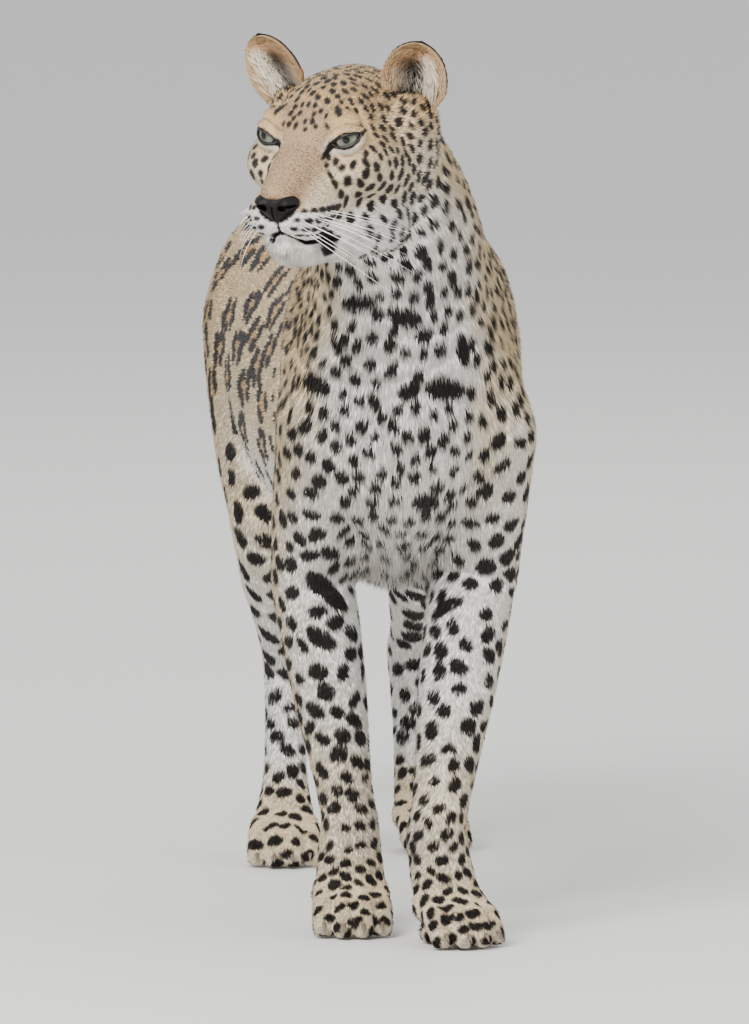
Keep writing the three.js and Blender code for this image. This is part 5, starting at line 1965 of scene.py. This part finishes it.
    def patch(self, side: int, u: Points, v: Points, front: bool) -> tuple[Points, Points, Points, Points]:
        """Points of a face of the shell, with the ways out, across and up at each."""
        step, sign = 0.004, 1 if front else -1
        thick = self.thickness / 2 * sign
        ahead, behind = np.clip(u + step, -1, 1), np.clip(u - step, -1, 1)
        across = self.point(side, ahead, v, thick) - self.point(side, behind, v, thick)
        upwards = self.point(side, u, v + step, thick) - self.point(side, u, np.maximum(v - step, 0), thick)
        n = unit(np.cross(across, upwards))
        face = self.head.matrix @ self.axes(side)[3]
        n *= np.sign(np.einsum("ij,j->i", n, face * sign))[:, None]
        return self.point(side, u, v, thick), n, unit(across), unit(upwards)


@dataclass
class Claws:
    """The tips of the claws, which show between the toes' fur."""

    body: Body
    length: float = 11.0
    radius: float = 2.1

    def build(self) -> Object:
        """Makes one hooked claw for each toe and joins them."""
        points, faces = [], []
        for leg in self.body.legs.values():
            for toe in leg.toes:
                tip = toe.rows[-1, :3]
                ahead = np.array([leg.sin, -leg.cos, 0])
                start = tip + ahead * 7.0 * leg.size + np.array([0, 0, 3.5])
                t = np.linspace(0, 1, 7)[:, None]
                path = start + ahead * self.length * 0.62 * t + np.array([0, 0, -1.0]) * 5.5 * t**2
                radii = self.radius * leg.size * (1 - 0.92 * t[:, 0] ** 1.4)
                p, f = tube(path, radii, 8, np.array([0.0, 0, 1]))
                shift = sum(len(x) for x in points)
                points.append(p)
                faces += [tuple(i + shift for i in face) for face in f]
        claws = outward(make_mesh("claws", np.concatenate(points), faces))
        claws.data.materials.append(CLAW_HORN.material())
        return claws


@dataclass
class Studio:
    """Camera at the photo's angle, soft lights and a plain floor."""

    azimuth_deg: float = -7.0
    elevation_deg: float = 6.5
    distance: float = 22.0
    pixels_per_metre: float = 1200.0
    frame_height: int = 1024
    aim: tuple[float, float, float] = (-25.6, 0.0, 350.6)

    def build(self) -> None:
        """Sets up everything that isn't the animal."""
        self.camera()
        self.lights()
        self.floor()

    def camera(self) -> None:
        """A long lens, so that the perspective is as flat as the photo's."""
        data = bpy.data.cameras.new("camera")
        camera = show("camera", data)
        az, el = radians(self.azimuth_deg), radians(self.elevation_deg)
        back = Vector((math.sin(az) * math.cos(el), -math.cos(az) * math.cos(el), math.sin(el)))
        target = Vector(metres(np.array(self.aim)))
        camera.location = target + back * self.distance
        camera.rotation_mode = "QUATERNION"
        camera.rotation_quaternion = (-back).to_track_quat("-Z", "Y")
        data.sensor_width = 36.0
        data.lens = self.pixels_per_metre * self.distance * data.sensor_width / self.frame_height
        data.clip_start, data.clip_end = 1.0, 300.0
        bpy.context.scene.camera = camera

    def lights(self) -> None:
        """An overcast sky's soft light: a pale world and three large lamps."""
        world = bpy.data.worlds.new("studio")
        world.use_nodes = True
        world.node_tree.nodes["Background"].inputs["Color"].default_value = (0.93, 0.96, 1.0, 1)
        world.node_tree.nodes["Background"].inputs["Strength"].default_value = 1.05
        bpy.context.scene.world = world
        self.lamp("key", (-1.6, -2.6, 2.6), 2.0, 190.0)
        self.lamp("fill", (2.4, -1.8, 1.6), 2.4, 30.0)
        self.lamp("rim", (0.6, 2.8, 2.8), 2.0, 50.0)

    def lamp(self, name: str, place: tuple[float, float, float], size: float, power: float) -> None:
        """One square soft lamp, aimed at the animal."""
        data = bpy.data.lights.new(name, "AREA")
        data.size, data.energy = size, power
        lamp = show(name, data)
        lamp.location = place
        aim = Vector((0, 0, 0.35)) - Vector(place)
        lamp.rotation_mode = "QUATERNION"
        lamp.rotation_quaternion = aim.to_track_quat("-Z", "Y")

    def floor(self) -> None:
        """A flat floor, wide enough to fill the picture from every side."""
        half = 40000.0
        corners = np.array([(-half, -half, 0), (half, -half, 0), (half, half, 0), (-half, half, 0)])
        floor = make_mesh("floor", corners - np.array([0, 0, 0.05]), [(0, 1, 2, 3)])
        floor.data.materials.append(FLOOR.material())


FLESH = (
    "torso", "neck", "head", "foreleg_left", "foreleg_right", "forepaw_left", "forepaw_right",
    "thigh_left", "thigh_right", "shank_left", "shank_right", "hindpaw_left", "hindpaw_right",
    "tail_root", "tail_middle", "tail_tip",
)


def main() -> None:
    """Builds the leopard piece by piece."""
    logging.basicConfig(level=logging.INFO, format="%(name)s %(message)s")
    Studio().build()
    body = Body()
    markings = Markings(body)
    hide = Hide(body, markings, step=2.2)
    skin = hide.build()
    markings.place(*hide.scatter(skin))
    hide.colour(skin)
    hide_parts(*FLESH)
    share = 1.0
    coat = Coat(body, markings)
    pieces = [skin, *coat.dress(skin, share)]
    LOG.info("coat done")
    pieces += Ears(body.head).build(coat, share)
    pieces += EyeSet(body.head).build()
    pieces.append(Nose(body.head).build())
    pieces.append(Whiskers(body, markings).build())
    pieces.append(Claws(body).build())
    for piece in pieces:
        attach(piece, "root")
        LOG.info("%s: %d faces", piece.name, len(piece.data.polygons))


if __name__ == "__main__":
    main()
